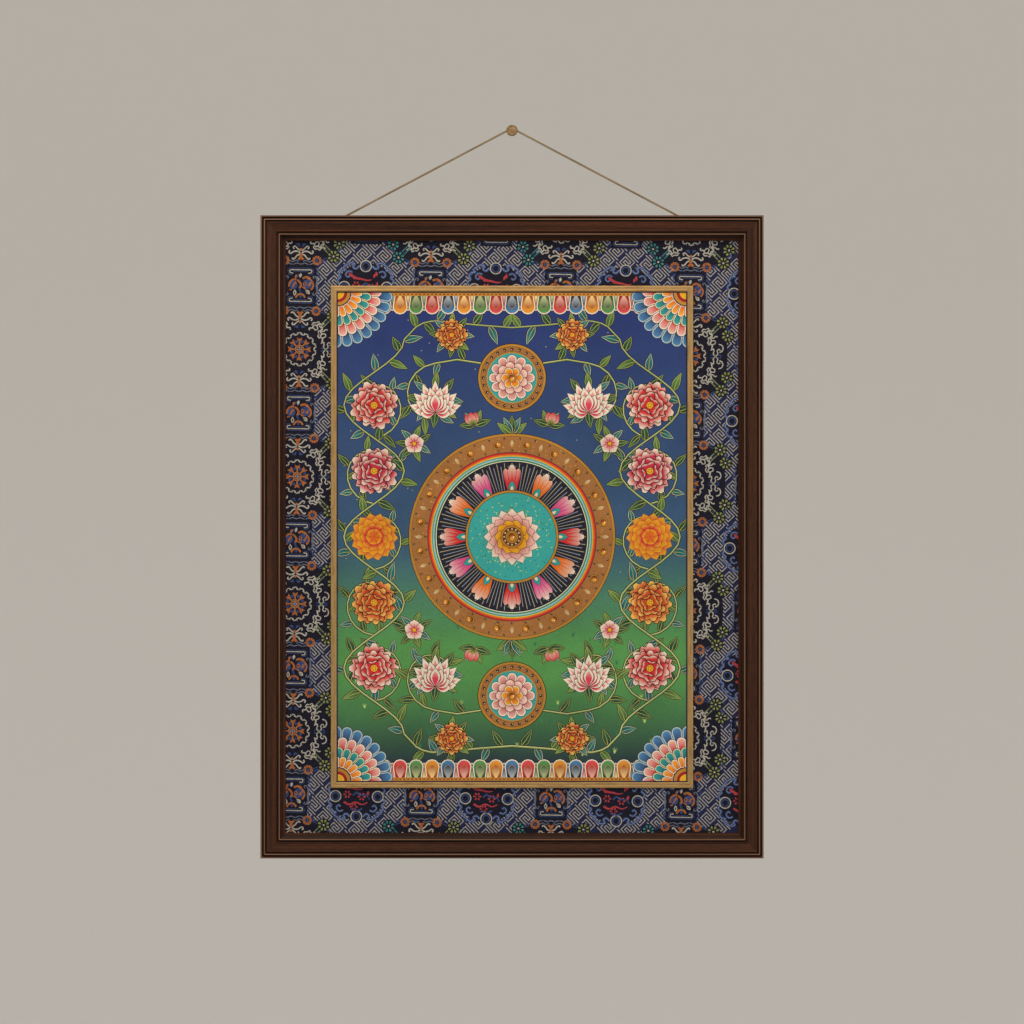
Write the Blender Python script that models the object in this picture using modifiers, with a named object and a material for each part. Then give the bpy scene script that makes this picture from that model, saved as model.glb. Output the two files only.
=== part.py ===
"""A painted cloth panel on a brocade ground, in a moulded frame that hangs by a cord from a wall peg.

Metres, +Z up. The wall is the plane y = 0 and the picture faces -Y. The origin is where the
peg's axis meets the wall.
"""

import math

import bmesh
import bpy
from mathutils import Matrix, Vector

MM = 0.001

# Frame: its outside, its place under the peg, and the gap that the hangers leave behind it.
FRAME_WIDTH = 0.550
FRAME_HEIGHT = 0.703
FRAME_TOP = -0.0940
WALL_GAP = 0.008

# Moulding, in millimetres: width of the face, width of the back beside the rebate, rebate's depth.
RAIL_FACE = 27.4
RAIL_BACK = 17.4
REBATE_DEPTH = 10.0
LIP_TOP = 12.2

# Layers inside the frame. Touching pieces stay a hair apart.
HAIR = 0.0003
BOARD_THICK = 0.0044
CLOTH_THICK = 0.001
SHEET_PLAY = 0.0015
BROCADE_MARGIN = 0.0493
FILLET_WIDTH = 0.0063

# Hanging: cord, peg and the ring hangers on the side rails' backs.
CORD_RADIUS = 0.0012
CORD_FROM_WALL = 0.0045
CORD_SLOPE = math.radians(27.84)
LOOP_RADIUS = 0.0029
RING_WIRE = 0.0009
RING_HALF_WIDTH = 0.006
RING_REACH = 0.008
RING_APEX_X = 0.2525
RING_APEX_Z = -0.13051
BARREL_RADIUS = 0.0019
PLATE_THICK = 0.001
PLATE_LENGTH = 0.012
PLATE_HALF_WIDTH = 0.004
SCREW_FROM_BARREL = 0.0075

# The cord's right half, (x, z) in metres: over the peg's neck, then straight down to its loop.
CORD_HALF_ROUTE = [
    (0.00000, 0.00250),
    (0.00060, 0.00243),
    (0.00117, 0.00221),
    (0.00500, 0.00019),
    (0.01100, -0.00298),
    (0.03000, -0.01302),
    (0.06500, -0.03150),
    (0.10500, -0.05263),
    (0.14500, -0.07375),
    (0.18500, -0.09487),
    (0.21500, -0.11072),
    (0.23500, -0.12128),
    (0.24817, -0.12824),
]
CORD_STEP = 0.0078

# Peg's half section in millimetres: (radius, distance from the wall), from the head's middle.
PEG_SECTION = [
    (0.0, 10.6),
    (4.1, 10.5),
    (4.7, 11.0),
    (5.6, 10.8),
    (6.2, 9.6),
    (6.2, 8.9),
    (5.7, 7.9),
    (4.4, 7.5),
    (1.0, 7.5),
    (1.0, 1.6),
    (4.2, 1.4),
    (5.0, 0.8),
    (5.0, 0.0),
    (0.0, 0.0),
]
PEG_SIDES = 40

SCREW_SECTION = [
    (0.0, 1.5),
    (1.2, 1.35),
    (2.1, 0.85),
    (2.6, 0.0),
    (0.0, 0.0),
]
SCREW_SIDES = 20

# How finely the round things are cut: a bead, a half turn or corner of wire, a bore, the cord's loop.
BEAD_STEPS = 4
BEND_STEPS = 16
CORNER_STEPS = 3
BORE_SIDES = 12
LOOP_STEPS = 24
LOOP_SIDES = 8
SHARP_ANGLE = math.radians(40)


def clear_scene():
    """Empties the scene and returns the part's own collection."""
    for old in list(bpy.data.objects):
        bpy.data.objects.remove(old)
    parts = bpy.data.collections.new("framed_thangka")
    bpy.context.scene.collection.children.link(parts)
    return parts


def finish(name, colour, roughness, metallic=0.0):
    """A Principled material from a linear colour."""
    material = bpy.data.materials.new(name)
    material.use_nodes = True
    shader = material.node_tree.nodes["Principled BSDF"]
    shader.inputs["Base Color"].default_value = (*colour, 1.0)
    shader.inputs["Roughness"].default_value = roughness
    shader.inputs["Metallic"].default_value = metallic
    return material


def add_piece(parts, name, mesh, material, parent=None):
    """An object for one piece, in the part's collection and under its parent empty."""
    piece = bpy.data.objects.new(name, mesh)
    mesh.materials.clear()
    mesh.materials.append(material)
    piece.parent = parent
    parts.objects.link(piece)
    return piece


def add_empty(parts, name, location, rotation=(0.0, 0.0, 0.0)):
    """An empty that places a group of pieces."""
    empty = bpy.data.objects.new(name, None)
    empty.location = location
    empty.rotation_euler = rotation
    parts.objects.link(empty)
    return empty


def mesh_of(curve, parts):
    """The closed mesh of a curve, with its caps welded on."""
    drawn = bpy.data.objects.new(curve.name, curve)
    parts.objects.link(drawn)
    bpy.context.view_layer.update()
    evaluated = drawn.evaluated_get(bpy.context.evaluated_depsgraph_get())
    mesh = bpy.data.meshes.new_from_object(evaluated)
    bpy.data.objects.remove(drawn)
    work = bmesh.new()
    work.from_mesh(mesh)
    bmesh.ops.remove_doubles(work, verts=work.verts, dist=1e-6)
    work.to_mesh(mesh)
    work.free()
    return mesh


def outline_mesh(name, outlines, half_thickness, parts):
    """A flat outline, with any holes as further outlines, thickened along its local Z."""
    curve = bpy.data.curves.new(name, "CURVE")
    curve.dimensions = "2D"
    curve.fill_mode = "BOTH"
    curve.extrude = half_thickness
    for points in outlines:
        spline = curve.splines.new("POLY")
        spline.points.add(len(points) - 1)
        for point, (x, y) in zip(spline.points, points):
            point.co = (x, y, 0.0, 1.0)
        spline.use_cyclic_u = True
    return mesh_of(curve, parts)


def tube_mesh(name, points, radius, parts, closed=False):
    """A round tube along a run of points."""
    curve = bpy.data.curves.new(name, "CURVE")
    curve.dimensions = "3D"
    curve.bevel_depth = radius
    curve.bevel_resolution = 2
    curve.use_fill_caps = not closed
    spline = curve.splines.new("POLY")
    spline.points.add(len(points) - 1)
    for point, place in zip(spline.points, points):
        point.co = (*place, 1.0)
    spline.use_cyclic_u = closed
    return mesh_of(curve, parts)


def block_mesh(width, depth, height):
    """A box about its own centre."""
    work = bmesh.new()
    bmesh.ops.create_cube(work, size=1.0, matrix=Matrix.Diagonal((width, depth, height, 1.0)))
    mesh = bpy.data.meshes.new("block")
    work.to_mesh(mesh)
    work.free()
    return mesh


def bead(left, right, foot, crown):
    """A rounded bead from left to right: half an ellipse between its foot and its crown."""
    middle = (left + right) / 2
    half = (right - left) / 2
    turns = [math.pi * (1 - i / BEAD_STEPS) for i in range(BEAD_STEPS + 1)]
    return [(middle + half * math.cos(t), foot + (crown - foot) * math.sin(t)) for t in turns]


def rail_section():
    """The moulding's section in millimetres: (in from the outer edge, out from the back)."""
    section = [(0.0, 0.0)]
    section += bead(0.0, 2.1, 20.6, 22.2)
    section += [(2.3, 19.6), (3.3, 19.6)]
    section += bead(3.5, 5.6, 22.4, 24.6)
    section += [(5.8, 21.4), (6.8, 21.4)]
    section += [(7.0, 23.3), (16.6, 21.9)]
    section += [(16.8, 22.6), (17.7, 22.5)]
    section += [(17.8, 19.4), (19.5, 19.4)]
    section += bead(19.7, 21.6, 21.6, 23.2)
    section += [(21.8, 16.6), (24.4, 15.6), (24.6, 15.0)]
    section += [(RAIL_FACE, LIP_TOP), (RAIL_FACE, REBATE_DEPTH)]
    section += [(RAIL_BACK, REBATE_DEPTH), (RAIL_BACK, 0.0)]
    return section


def fillet_section():
    """The fillet's section in millimetres: two flat reeds side by side on a square base."""
    width = FILLET_WIDTH / MM
    section = [(0.0, 0.0)]
    section += bead(0.0, width / 2, 2.9, 3.4)
    section += bead(width / 2, width, 2.9, 3.4)[1:]
    section += [(width, 0.0)]
    return section


def mitred_strip(name, section, length, parts):
    """A strip with its ends cut at 45 degrees, along X, outer edge at z = 0 and back at y = 0."""
    outline = [(across * MM, out * MM) for across, out in section]
    mesh = outline_mesh(name, [outline], 0.5, parts)
    mitre_play = HAIR / math.sqrt(2)
    for vertex in mesh.vertices:
        across, out, end = vertex.co
        along = math.copysign(length / 2 - across - mitre_play, -end)
        vertex.co = (along, -out, -across)
    return mesh


def add_surround(parts, name, section, width, height, back, material, centre):
    """Four mitred strips round a rectangle, their backs at a height in front of the rails' back."""
    sides = [
        ("top", 0, width, height / 2),
        ("right", 90, height, width / 2),
        ("bottom", 180, width, height / 2),
        ("left", 270, height, width / 2),
    ]
    for side, degrees, length, reach in sides:
        turn = math.radians(degrees)
        mesh = mitred_strip(f"{name}_{side}", section, length, parts)
        strip = add_piece(parts, f"{name}_{side}", mesh, material, centre)
        strip.location = (reach * math.sin(turn), -back, reach * math.cos(turn))
        strip.rotation_euler = (0.0, turn, 0.0)


def add_sheet(parts, name, width, height, thickness, back, material, centre):
    """A flat sheet whose back is at a height in front of the rails' back."""
    sheet = add_piece(parts, name, block_mesh(width, thickness, height), material, centre)
    sheet.location = (0.0, -back - thickness / 2, 0.0)


def add_framed_panel(parts, looks):
    """The frame and the layers in it: board, brocade, painted cloth and the gold fillet round it."""
    middle = FRAME_TOP - FRAME_HEIGHT / 2
    centre = add_empty(parts, "frame_centre", (0.0, -WALL_GAP, middle))
    add_surround(parts, "rail", rail_section(), FRAME_WIDTH, FRAME_HEIGHT, 0.0, looks["wood"], centre)

    rebate = 2 * (RAIL_BACK * MM + SHEET_PLAY)
    sheet_width = FRAME_WIDTH - rebate
    sheet_height = FRAME_HEIGHT - rebate
    brocade_back = REBATE_DEPTH * MM - HAIR - CLOTH_THICK
    board_back = brocade_back - HAIR - BOARD_THICK
    on_brocade = brocade_back + CLOTH_THICK + HAIR
    add_sheet(parts, "backing_board", sheet_width, sheet_height, BOARD_THICK, board_back,
              looks["board"], centre)
    add_sheet(parts, "brocade_sheet", sheet_width, sheet_height, CLOTH_THICK, brocade_back,
              looks["brocade"], centre)

    surround = 2 * (RAIL_FACE * MM + BROCADE_MARGIN)
    fillet_width = FRAME_WIDTH - surround
    fillet_height = FRAME_HEIGHT - surround
    add_surround(parts, "fillet", fillet_section(), fillet_width, fillet_height, on_brocade,
                 looks["gilt"], centre)
    inside = 2 * (FILLET_WIDTH + HAIR)
    add_sheet(parts, "painting_sheet", fillet_width - inside, fillet_height - inside, CLOTH_THICK,
              on_brocade, looks["painting"], centre)


def turned_mesh(name, section, sides, parts):
    """A turned piece about its local Z, from a half section in millimetres that starts at the top."""
    profile = bpy.data.meshes.new(name)
    points = [(radius * MM, 0.0, height * MM) for radius, height in section]
    profile.from_pydata(points, [(i, i + 1) for i in range(len(points) - 1)], [])
    turned = bpy.data.objects.new(name, profile)
    parts.objects.link(turned)
    screw = turned.modifiers.new("turn", "SCREW")
    screw.steps = sides
    screw.render_steps = sides
    screw.use_merge_vertices = True
    screw.merge_threshold = 1e-6
    bpy.context.view_layer.update()
    evaluated = turned.evaluated_get(bpy.context.evaluated_depsgraph_get())
    mesh = bpy.data.meshes.new_from_object(evaluated)
    bpy.data.objects.remove(turned)
    mesh.shade_smooth()
    mesh.set_sharp_from_angle(angle=SHARP_ANGLE)
    return mesh


def add_peg(parts, material):
    """The wall peg: a flange at the wall, a thin neck that carries the cord, and a flat rimmed head."""
    peg = add_piece(parts, "wall_peg", turned_mesh("wall_peg", PEG_SECTION, PEG_SIDES, parts), material)
    peg.rotation_euler = (math.radians(90), 0.0, 0.0)


def smooth_route(route, step):
    """Points along a smooth curve through the route's points, at most one step apart."""
    points = [Vector(p) for p in route]
    chords = [(b - a).length for a, b in zip(points, points[1:])]
    slopes = [(b - a) / d for a, b, d in zip(points, points[1:], chords)]
    tangents = [slopes[0]]
    for i in range(1, len(points) - 1):
        before, after = chords[i - 1], chords[i]
        tangents.append((slopes[i - 1] * after + slopes[i] * before) / (before + after))
    tangents.append(slopes[-1])
    run = [points[0]]
    for i, chord in enumerate(chords):
        pieces = math.ceil(chord / step)
        for j in range(1, pieces + 1):
            t = j / pieces
            start = points[i] * (2 * t**3 - 3 * t**2 + 1) + tangents[i] * chord * (t**3 - 2 * t**2 + t)
            end = points[i + 1] * (3 * t**2 - 2 * t**3) + tangents[i + 1] * chord * (t**3 - t**2)
            run.append(start + end)
    return run


def add_cord(parts, material):
    """The hanging cord, from loop to loop over the peg's neck, in one plane off the wall."""
    right = [(x, -CORD_FROM_WALL, z) for x, z in CORD_HALF_ROUTE]
    left = [(-x, y, z) for x, y, z in reversed(right[1:])]
    run = smooth_route(left + right, CORD_STEP)
    mesh = tube_mesh("hanging_cord", run, CORD_RADIUS, parts)
    mesh.shade_smooth()
    add_piece(parts, "hanging_cord", mesh, material)


def barrel_outline():
    """Side of the strap: a flat tongue whose end folds right round the ring's bar."""
    centre = BARREL_RADIUS
    fold_end = math.pi + math.asin((centre - PLATE_THICK) / BARREL_RADIUS)
    sweep = fold_end + math.pi / 2
    turns = [-math.pi / 2 + sweep * i / BEND_STEPS for i in range(BEND_STEPS + 1)]
    fold = [(BARREL_RADIUS * math.cos(t), centre + BARREL_RADIUS * math.sin(t)) for t in turns]
    return [(-PLATE_LENGTH, 0.0)] + fold + [(-PLATE_LENGTH, PLATE_THICK)]


def ring_points():
    """A D in its own plane: the bar lies along Y at x = 0 and the bow's apex is at +X."""
    corner = RING_REACH - RING_HALF_WIDTH
    bow = [math.pi * (0.5 - i / BEND_STEPS) for i in range(BEND_STEPS + 1)]
    bow = [(corner + RING_HALF_WIDTH * math.cos(t), RING_HALF_WIDTH * math.sin(t), 0.0) for t in bow]
    foot = [math.pi * (1 + i / (2 * CORNER_STEPS)) for i in range(CORNER_STEPS + 1)]
    foot = [(corner + corner * math.cos(t), corner - RING_HALF_WIDTH + corner * math.sin(t), 0.0)
            for t in foot]
    right_foot = list(reversed(foot))[1:]
    left_foot = [(x, -y, z) for x, y, z in foot][:-1]
    return bow + right_foot + left_foot


def add_hanger(parts, side, looks):
    """A strap, its ring, its screw and the cord's loop, in line with the cord's pull.

    The hanger's empty has its X along the pull, its Y across the strap and its Z off the rail.
    """
    name = "right" if side > 0 else "left"
    bar_height = HAIR + BARREL_RADIUS
    lift = WALL_GAP - CORD_FROM_WALL - bar_height
    tilt = math.asin(lift / RING_REACH)
    reach = RING_REACH * math.cos(tilt)
    pull = Vector((-side * math.cos(CORD_SLOPE), 0.0, math.sin(CORD_SLOPE)))
    bar = Vector((side * RING_APEX_X, -WALL_GAP, RING_APEX_Z)) - pull * reach
    off_rail = Vector((0.0, 1.0, 0.0))
    turn = Matrix((pull, off_rail.cross(pull), off_rail)).transposed()
    hanger = add_empty(parts, f"hanger_{name}", bar, turn.to_euler())

    bore_radius = RING_WIRE + HAIR
    bore_turns = [2 * math.pi * i / BORE_SIDES for i in range(BORE_SIDES)]
    bore = [(bore_radius * math.cos(t), BARREL_RADIUS + bore_radius * math.sin(t)) for t in bore_turns]
    mesh = outline_mesh(f"hanger_plate_{name}", [barrel_outline(), bore], PLATE_HALF_WIDTH, parts)
    plate = add_piece(parts, f"hanger_plate_{name}", mesh, looks["steel"], hanger)
    plate.location = (0.0, 0.0, HAIR)
    plate.rotation_euler = (math.radians(90), 0.0, 0.0)

    mesh = tube_mesh(f"hanger_ring_{name}", ring_points(), RING_WIRE, parts, closed=True)
    mesh.shade_smooth()
    ring = add_piece(parts, f"hanger_ring_{name}", mesh, looks["steel"], hanger)
    ring.location = (0.0, 0.0, bar_height)
    ring.rotation_euler = (0.0, -tilt, 0.0)

    mesh = turned_mesh(f"hanger_screw_{name}", SCREW_SECTION, SCREW_SIDES, parts)
    screw = add_piece(parts, f"hanger_screw_{name}", mesh, looks["steel"], hanger)
    screw.location = (-SCREW_FROM_BARREL, 0.0, 2 * HAIR + PLATE_THICK)

    slack = LOOP_RADIUS - CORD_RADIUS - RING_WIRE - HAIR
    bpy.ops.mesh.primitive_torus_add(
        major_radius=LOOP_RADIUS,
        minor_radius=CORD_RADIUS,
        major_segments=LOOP_STEPS,
        minor_segments=LOOP_SIDES,
    )
    drawn = bpy.context.object
    mesh = drawn.data
    bpy.data.objects.remove(drawn)
    mesh.shade_smooth()
    loop = add_piece(parts, f"cord_loop_{name}", mesh, looks["cord"], hanger)
    loop.location = (reach + slack, 0.0, WALL_GAP - CORD_FROM_WALL)
    loop.rotation_euler = (math.radians(90), 0.0, 0.0)


def build():
    """Builds every piece of the hanging."""
    parts = clear_scene()
    looks = {
        "wood": finish("stained_wood", (0.046, 0.020, 0.011), 0.42),
        "gilt": finish("gilt_wood", (0.51, 0.31, 0.10), 0.38, 0.75),
        "brocade": finish("silk_brocade", (0.021, 0.022, 0.052), 0.60),
        "painting": finish("painted_cotton", (0.13, 0.20, 0.16), 0.72),
        "board": finish("backing_fibreboard", (0.24, 0.15, 0.08), 0.85),
        "steel": finish("zinc_plated_steel", (0.55, 0.55, 0.53), 0.35, 1.0),
        "cord": finish("twisted_cotton_cord", (0.30, 0.21, 0.11), 0.85),
        "brass": finish("turned_brass", (0.60, 0.42, 0.19), 0.32, 1.0),
    }
    add_framed_panel(parts, looks)
    add_peg(parts, looks["brass"])
    add_cord(parts, looks["cord"])
    for side in (1, -1):
        add_hanger(parts, side, looks)


build()
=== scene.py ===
# %% [markdown]
# # A painted cloth panel on brocade, framed and hung by a cord
# The object is a flat painting on cloth, laid on a patterned silk brocade, edged by a narrow gilt
# fillet and set in a dark moulded frame that hangs from one brass peg. The solid model fixes every
# place and size. This notebook gives each piece its surface: mouldings carried round the frame,
# pictures built from flat coloured shapes, a twisted cord, and a material for each real finish.

# %% Load the solid model
from math import asin, cos, pi, radians, sin

import bmesh
import bpy
import numpy as np
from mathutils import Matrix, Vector
from mathutils.geometry import delaunay_2d_cdt, tessellate_polygon


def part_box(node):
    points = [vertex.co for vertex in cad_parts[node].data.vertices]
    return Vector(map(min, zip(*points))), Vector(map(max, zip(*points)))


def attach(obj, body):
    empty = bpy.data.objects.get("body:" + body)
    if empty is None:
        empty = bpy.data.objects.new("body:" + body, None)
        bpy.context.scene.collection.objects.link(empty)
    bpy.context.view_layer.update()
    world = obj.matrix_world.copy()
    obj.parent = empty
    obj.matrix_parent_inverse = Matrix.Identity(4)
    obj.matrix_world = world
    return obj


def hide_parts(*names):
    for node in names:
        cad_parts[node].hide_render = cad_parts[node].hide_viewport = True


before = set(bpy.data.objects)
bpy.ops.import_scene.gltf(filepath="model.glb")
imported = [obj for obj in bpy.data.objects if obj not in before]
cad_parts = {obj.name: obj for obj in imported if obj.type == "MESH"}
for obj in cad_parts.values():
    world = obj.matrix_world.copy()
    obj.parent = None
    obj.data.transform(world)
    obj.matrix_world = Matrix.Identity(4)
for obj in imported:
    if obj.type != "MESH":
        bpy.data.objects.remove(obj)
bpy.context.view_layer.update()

MM = 0.001
TINY = 1e-9

# %% [markdown]
# ## Where everything is
# The rails' boxes give the frame's outside and its back plane, from which the layers are measured.

# %% Read the main sizes from the solids
rail_boxes = [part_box(f"rail_{side}") for side in ("top", "right", "bottom", "left")]
FRAME_LOW = np.min([np.array(low) for low, high in rail_boxes], axis=0)
FRAME_HIGH = np.max([np.array(high) for low, high in rail_boxes], axis=0)
FRAME_WIDTH, FRAME_HEIGHT = FRAME_HIGH[0] - FRAME_LOW[0], FRAME_HIGH[2] - FRAME_LOW[2]
MIDDLE = (FRAME_LOW + FRAME_HIGH) / 2
RAIL_BACK_Y = FRAME_HIGH[1]
print(f"frame {FRAME_WIDTH:.4f} by {FRAME_HEIGHT:.4f} m, middle at z {MIDDLE[2]:.4f}")

# %% [markdown]
# ## The camera
# A picture on a wall is photographed square on with a long lens, which draws the peg at the wall and
# the moulding's face at one scale. One pixel of the photograph is 1.0924 mm at the frame's face, and
# the frame's top edge lies on row 215. That fixes how far away and how high the camera stands.

# %% Place the camera
PIXEL = 1.0924 * MM
PICTURE_SIZE = 1024
FRAME_TOP_ROW = 215.1
LENS, SENSOR = 200.0, 36.0

view_width = PICTURE_SIZE * PIXEL
distance = view_width * LENS / SENSOR
camera_data = bpy.data.cameras.new("camera")
camera_data.lens, camera_data.sensor_width = LENS, SENSOR
camera = bpy.data.objects.new("camera", camera_data)
eye_height = FRAME_HIGH[2] - (PICTURE_SIZE / 2 - FRAME_TOP_ROW) * PIXEL
camera.location = (MIDDLE[0], FRAME_LOW[1] - distance, eye_height)
camera.rotation_euler = (radians(90), 0, 0)
bpy.context.scene.collection.objects.link(camera)
bpy.context.scene.camera = camera
print(f"camera {distance:.2f} m from the frame, at height {eye_height:.3f} m")

# %% [markdown]
# ## Colours, nodes and meshes
# Hex codes give colours as they look on a screen, and the renderer adds light in linear numbers, so
# one function turns one into the other. A few more add shader nodes with their settings and links.

# %% Colours and shader nodes
def linear(code):
    """Screen value to linear light: below 0.04045 divide by 12.92, above it a power of 2.4."""
    screen = np.array([int(code[i:i + 2], 16) for i in (1, 3, 5)]) / 255
    return np.where(screen <= 0.04045, screen / 12.92, ((screen + 0.055) / 1.055) ** 2.4)


def rgba(code):
    """Linear light with full cover."""
    return (*linear(code), 1.0)


def fill(socket, value):
    """Give a shader input its value; a string is a hex code."""
    socket.default_value = rgba(value) if isinstance(value, str) else value


def add(tree, kind, sockets=None, **settings):
    """One node: settings are its properties, sockets its inputs, as values, or as sockets or nodes to
    link. A node stands for its first output."""
    made = tree.nodes.new("ShaderNode" + kind)
    for name, value in settings.items():
        setattr(made, name, value)
    for key, value in (sockets or {}).items():
        if isinstance(value, (bpy.types.NodeSocket, bpy.types.Node)):
            link(tree, value, made, key)
        else:
            fill(made.inputs[key], value)
    return made


def material(name, **sockets):
    """A new material with its Principled shader, whose inputs are given by name."""
    made = bpy.data.materials.new(name)
    made.use_nodes = True
    tree = made.node_tree
    shader = tree.nodes["Principled BSDF"]
    for key, value in sockets.items():
        fill(shader.inputs[key.replace("_", " ")], value)
    return made, tree, shader


def link(tree, source, node, key):
    """Join a socket, or a node's first output, to one input of a node."""
    tree.links.new(source.outputs[0] if isinstance(source, bpy.types.Node) else source, node.inputs[key])


def noise(tree, vector, scale, detail, **sockets):
    """Soft clouds, so many to a unit of the vector."""
    return add(tree, "TexNoise", {"Vector": vector, "Scale": scale, "Detail": detail, **sockets})


def ranged(tree, value, low, high, start=0.0, end=1.0):
    """The value, moved from its own range to the one from low to high."""
    span = {"From Min": start, "From Max": end, "To Min": low, "To Max": high}
    return add(tree, "MapRange", {"Value": value, **span})


def raised(tree, shader, height, strength, depth):
    """Light and shade as if the surface rose by the height, so many metres deep."""
    rise = add(tree, "Bump", {"Height": height, "Strength": strength, "Distance": depth})
    link(tree, rise, shader, "Normal")


def ramp(tree, factor, stops):
    """A colour ramp with stops of (place, hex code)."""
    made = add(tree, "ValToRGB", {"Fac": factor})
    for i, (spot, code) in enumerate(stops):
        element = made.color_ramp.elements[i] if i < 2 else made.color_ramp.elements.new(spot)
        element.position, element.color = spot, rgba(code)
    return made.outputs["Color"]


print("screen grey #808080 is", linear("#808080").round(3), "in linear light")

# %% [markdown]
# Every new surface is a grid of points, worked out as one array, whose neighbours are joined by
# quads. It is shaded smooth, but crisp where faces meet at a sharp angle.

# %% From arrays to objects
def piece(name, points, faces, finish, slot, sharp=35, replaces=()):
    """A smooth shaded mesh object that rides on the frame; edges above the sharp angle stay crisp."""
    mesh = bpy.data.meshes.new(name)
    mesh.from_pydata(np.asarray(points).reshape(-1, 3).tolist(), [], faces)
    work = bmesh.new()
    work.from_mesh(mesh)
    bmesh.ops.recalc_face_normals(work, faces=work.faces)
    work.to_mesh(mesh)
    work.free()
    mesh.materials.append(finish)
    mesh.shade_smooth()
    mesh.set_sharp_from_angle(angle=radians(sharp))
    made = bpy.data.objects.new(name, mesh)
    bpy.context.scene.collection.objects.link(made)
    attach(made, "root")
    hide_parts(*replaces)
    print(f"{name}: {len(mesh.polygons)} faces")
    return made


def refinish(name, finish):
    """A solid that keeps its own shape gets a new material."""
    mesh = bpy.data.objects[name].data
    mesh.materials.clear()
    mesh.materials.append(finish)


def net(rows, columns, loop_rows=False, loop_columns=False, start=0):
    """The quads of a grid of points stored row by row; a looped direction joins its end to its start."""
    i = np.arange(rows if loop_rows else rows - 1)[:, None]
    j = np.arange(columns if loop_columns else columns - 1)[None, :]
    after_i, after_j = (i + 1) % rows, (j + 1) % columns
    quads = np.stack([i * columns + j, i * columns + after_j,
                      after_i * columns + after_j, after_i * columns + j], -1)
    return (start + quads.reshape(-1, 4)).tolist()


def capped(rings, sides):
    """The quads of a tube of rings, and a flat cap on its first and its last ring."""
    last = (rings - 1) * sides
    return net(rings, sides, loop_columns=True) + [list(range(sides))[::-1], list(range(last, last + sides))]


def around(sides):
    """An even run of angles round a full turn."""
    return 2 * pi * np.arange(sides) / sides


print("a tube of 3 rings of 8 points has", len(capped(3, 8)), "faces")

# %% [markdown]
# ## The hanging cord
# A thin three ply cotton cord runs from one ring hanger over the peg to the other. A twisted cord
# reads as one only if its plies show, so the tube's radius swells three times round, and that pattern
# turns as it goes along. The route's points are the ones that the solid tube follows.

# %% The cord's route
CORD_DIAMETER = 2.4 * MM
CORD_Y = -4.5 * MM
CORD_HALF_ROUTE = [
    (0.00000, 0.00250), (0.00060, 0.00243), (0.00117, 0.00221), (0.00500, 0.00019), (0.01100, -0.00298),
    (0.03000, -0.01302), (0.06500, -0.03150), (0.10500, -0.05263), (0.14500, -0.07375), (0.18500, -0.09487),
    (0.21500, -0.11072), (0.23500, -0.12128), (0.24817, -0.12824),
]
CORD_SLOPE = radians(27.84)
PATH_STEP = 0.5 * MM


def hermite(route, step):
    """Points on cubics through the route; a tangent is its two slopes, each weighted by the other's chord."""
    p = np.array(route, float)
    chord = np.linalg.norm(np.diff(p, axis=0), axis=1)
    slope = np.diff(p, axis=0) / chord[:, None]
    inner = slope[:-1] * chord[1:, None] + slope[1:] * chord[:-1, None]
    inner /= (chord[:-1] + chord[1:])[:, None]
    tangent = np.concatenate([slope[:1], inner, slope[-1:]])
    runs = []
    for i, length in enumerate(chord):
        t = np.arange(0, 1, 1 / np.ceil(length / step))[:, None]
        runs.append(p[i] * (2 * t**3 - 3 * t**2 + 1) + p[i + 1] * (3 * t**2 - 2 * t**3)
                    + length * (tangent[i] * (t**3 - 2 * t**2 + t) + tangent[i + 1] * (t**3 - t**2)))
    return np.concatenate(runs + [p[-1:]])


half_route = np.array([(x, CORD_Y, z) for x, z in CORD_HALF_ROUTE])
cord_route = np.concatenate([(half_route * (-1, 1, 1))[:0:-1], half_route])
cord_path = hermite(cord_route, PATH_STEP)

# %% [markdown]
# Round a path in one plane, the directions are the plane's normal and the normal crossed with the
# run. The twist is a cosine of the angle round the tube less what the lay has turned so far.

# %% Tubes along flat paths, plain or twisted
PLIES = 3
LAY = 7.0 * MM                         # one full turn of the plies
PLY_CORE, PLY_SWELL = 0.84, 0.16       # shares of the radius


def tube(path, normal, radius, sides=16, closed=False, twist=False):
    """Points and faces round a path: path + radius * (cos a * side + sin a * normal). With a twist
    the radius swells at each ply: radius * (core + swell * |cos(plies / 2 * (a - 2 pi run / lay))|)."""
    path, normal = np.asarray(path, float), np.asarray(normal, float)
    if closed:
        run = np.roll(path, -1, 0) - np.roll(path, 1, 0)
    else:
        run = np.gradient(path, axis=0)
    run /= np.linalg.norm(run, axis=1)[:, None]
    side = np.cross(run, normal)
    gone = np.concatenate([[0], np.cumsum(np.linalg.norm(np.diff(path, axis=0), axis=1))])
    angle = around(sides)
    reach = np.full((len(path), sides), float(radius))
    if twist:
        laid = angle[None, :] - 2 * pi * gone[:, None] / LAY
        reach *= PLY_CORE + PLY_SWELL * np.abs(np.cos(PLIES / 2 * laid))
    points = path[:, None] + reach[..., None] * (np.cos(angle)[None, :, None] * side[:, None]
                                                 + np.sin(angle)[None, :, None] * normal)
    if closed:
        faces = net(len(path), sides, loop_rows=True, loop_columns=True)
    else:
        faces = capped(len(path), sides)
    return points.reshape(-1, 3), faces


def joined(*parts):
    """Several lots of points and faces as one."""
    points, faces, count = [], [], 0
    for some_points, some_faces in parts:
        points.append(some_points)
        faces += [[count + v for v in face] for face in some_faces]
        count += len(some_points)
    return np.concatenate(points), faces


print(f"{PLIES} plies, a full turn in {LAY / MM:.0f} mm of cord")

# %% [markdown]
# The cord is unbleached cotton that has gone tan: matt, with soiled patches and fine uneven fibres.

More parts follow.
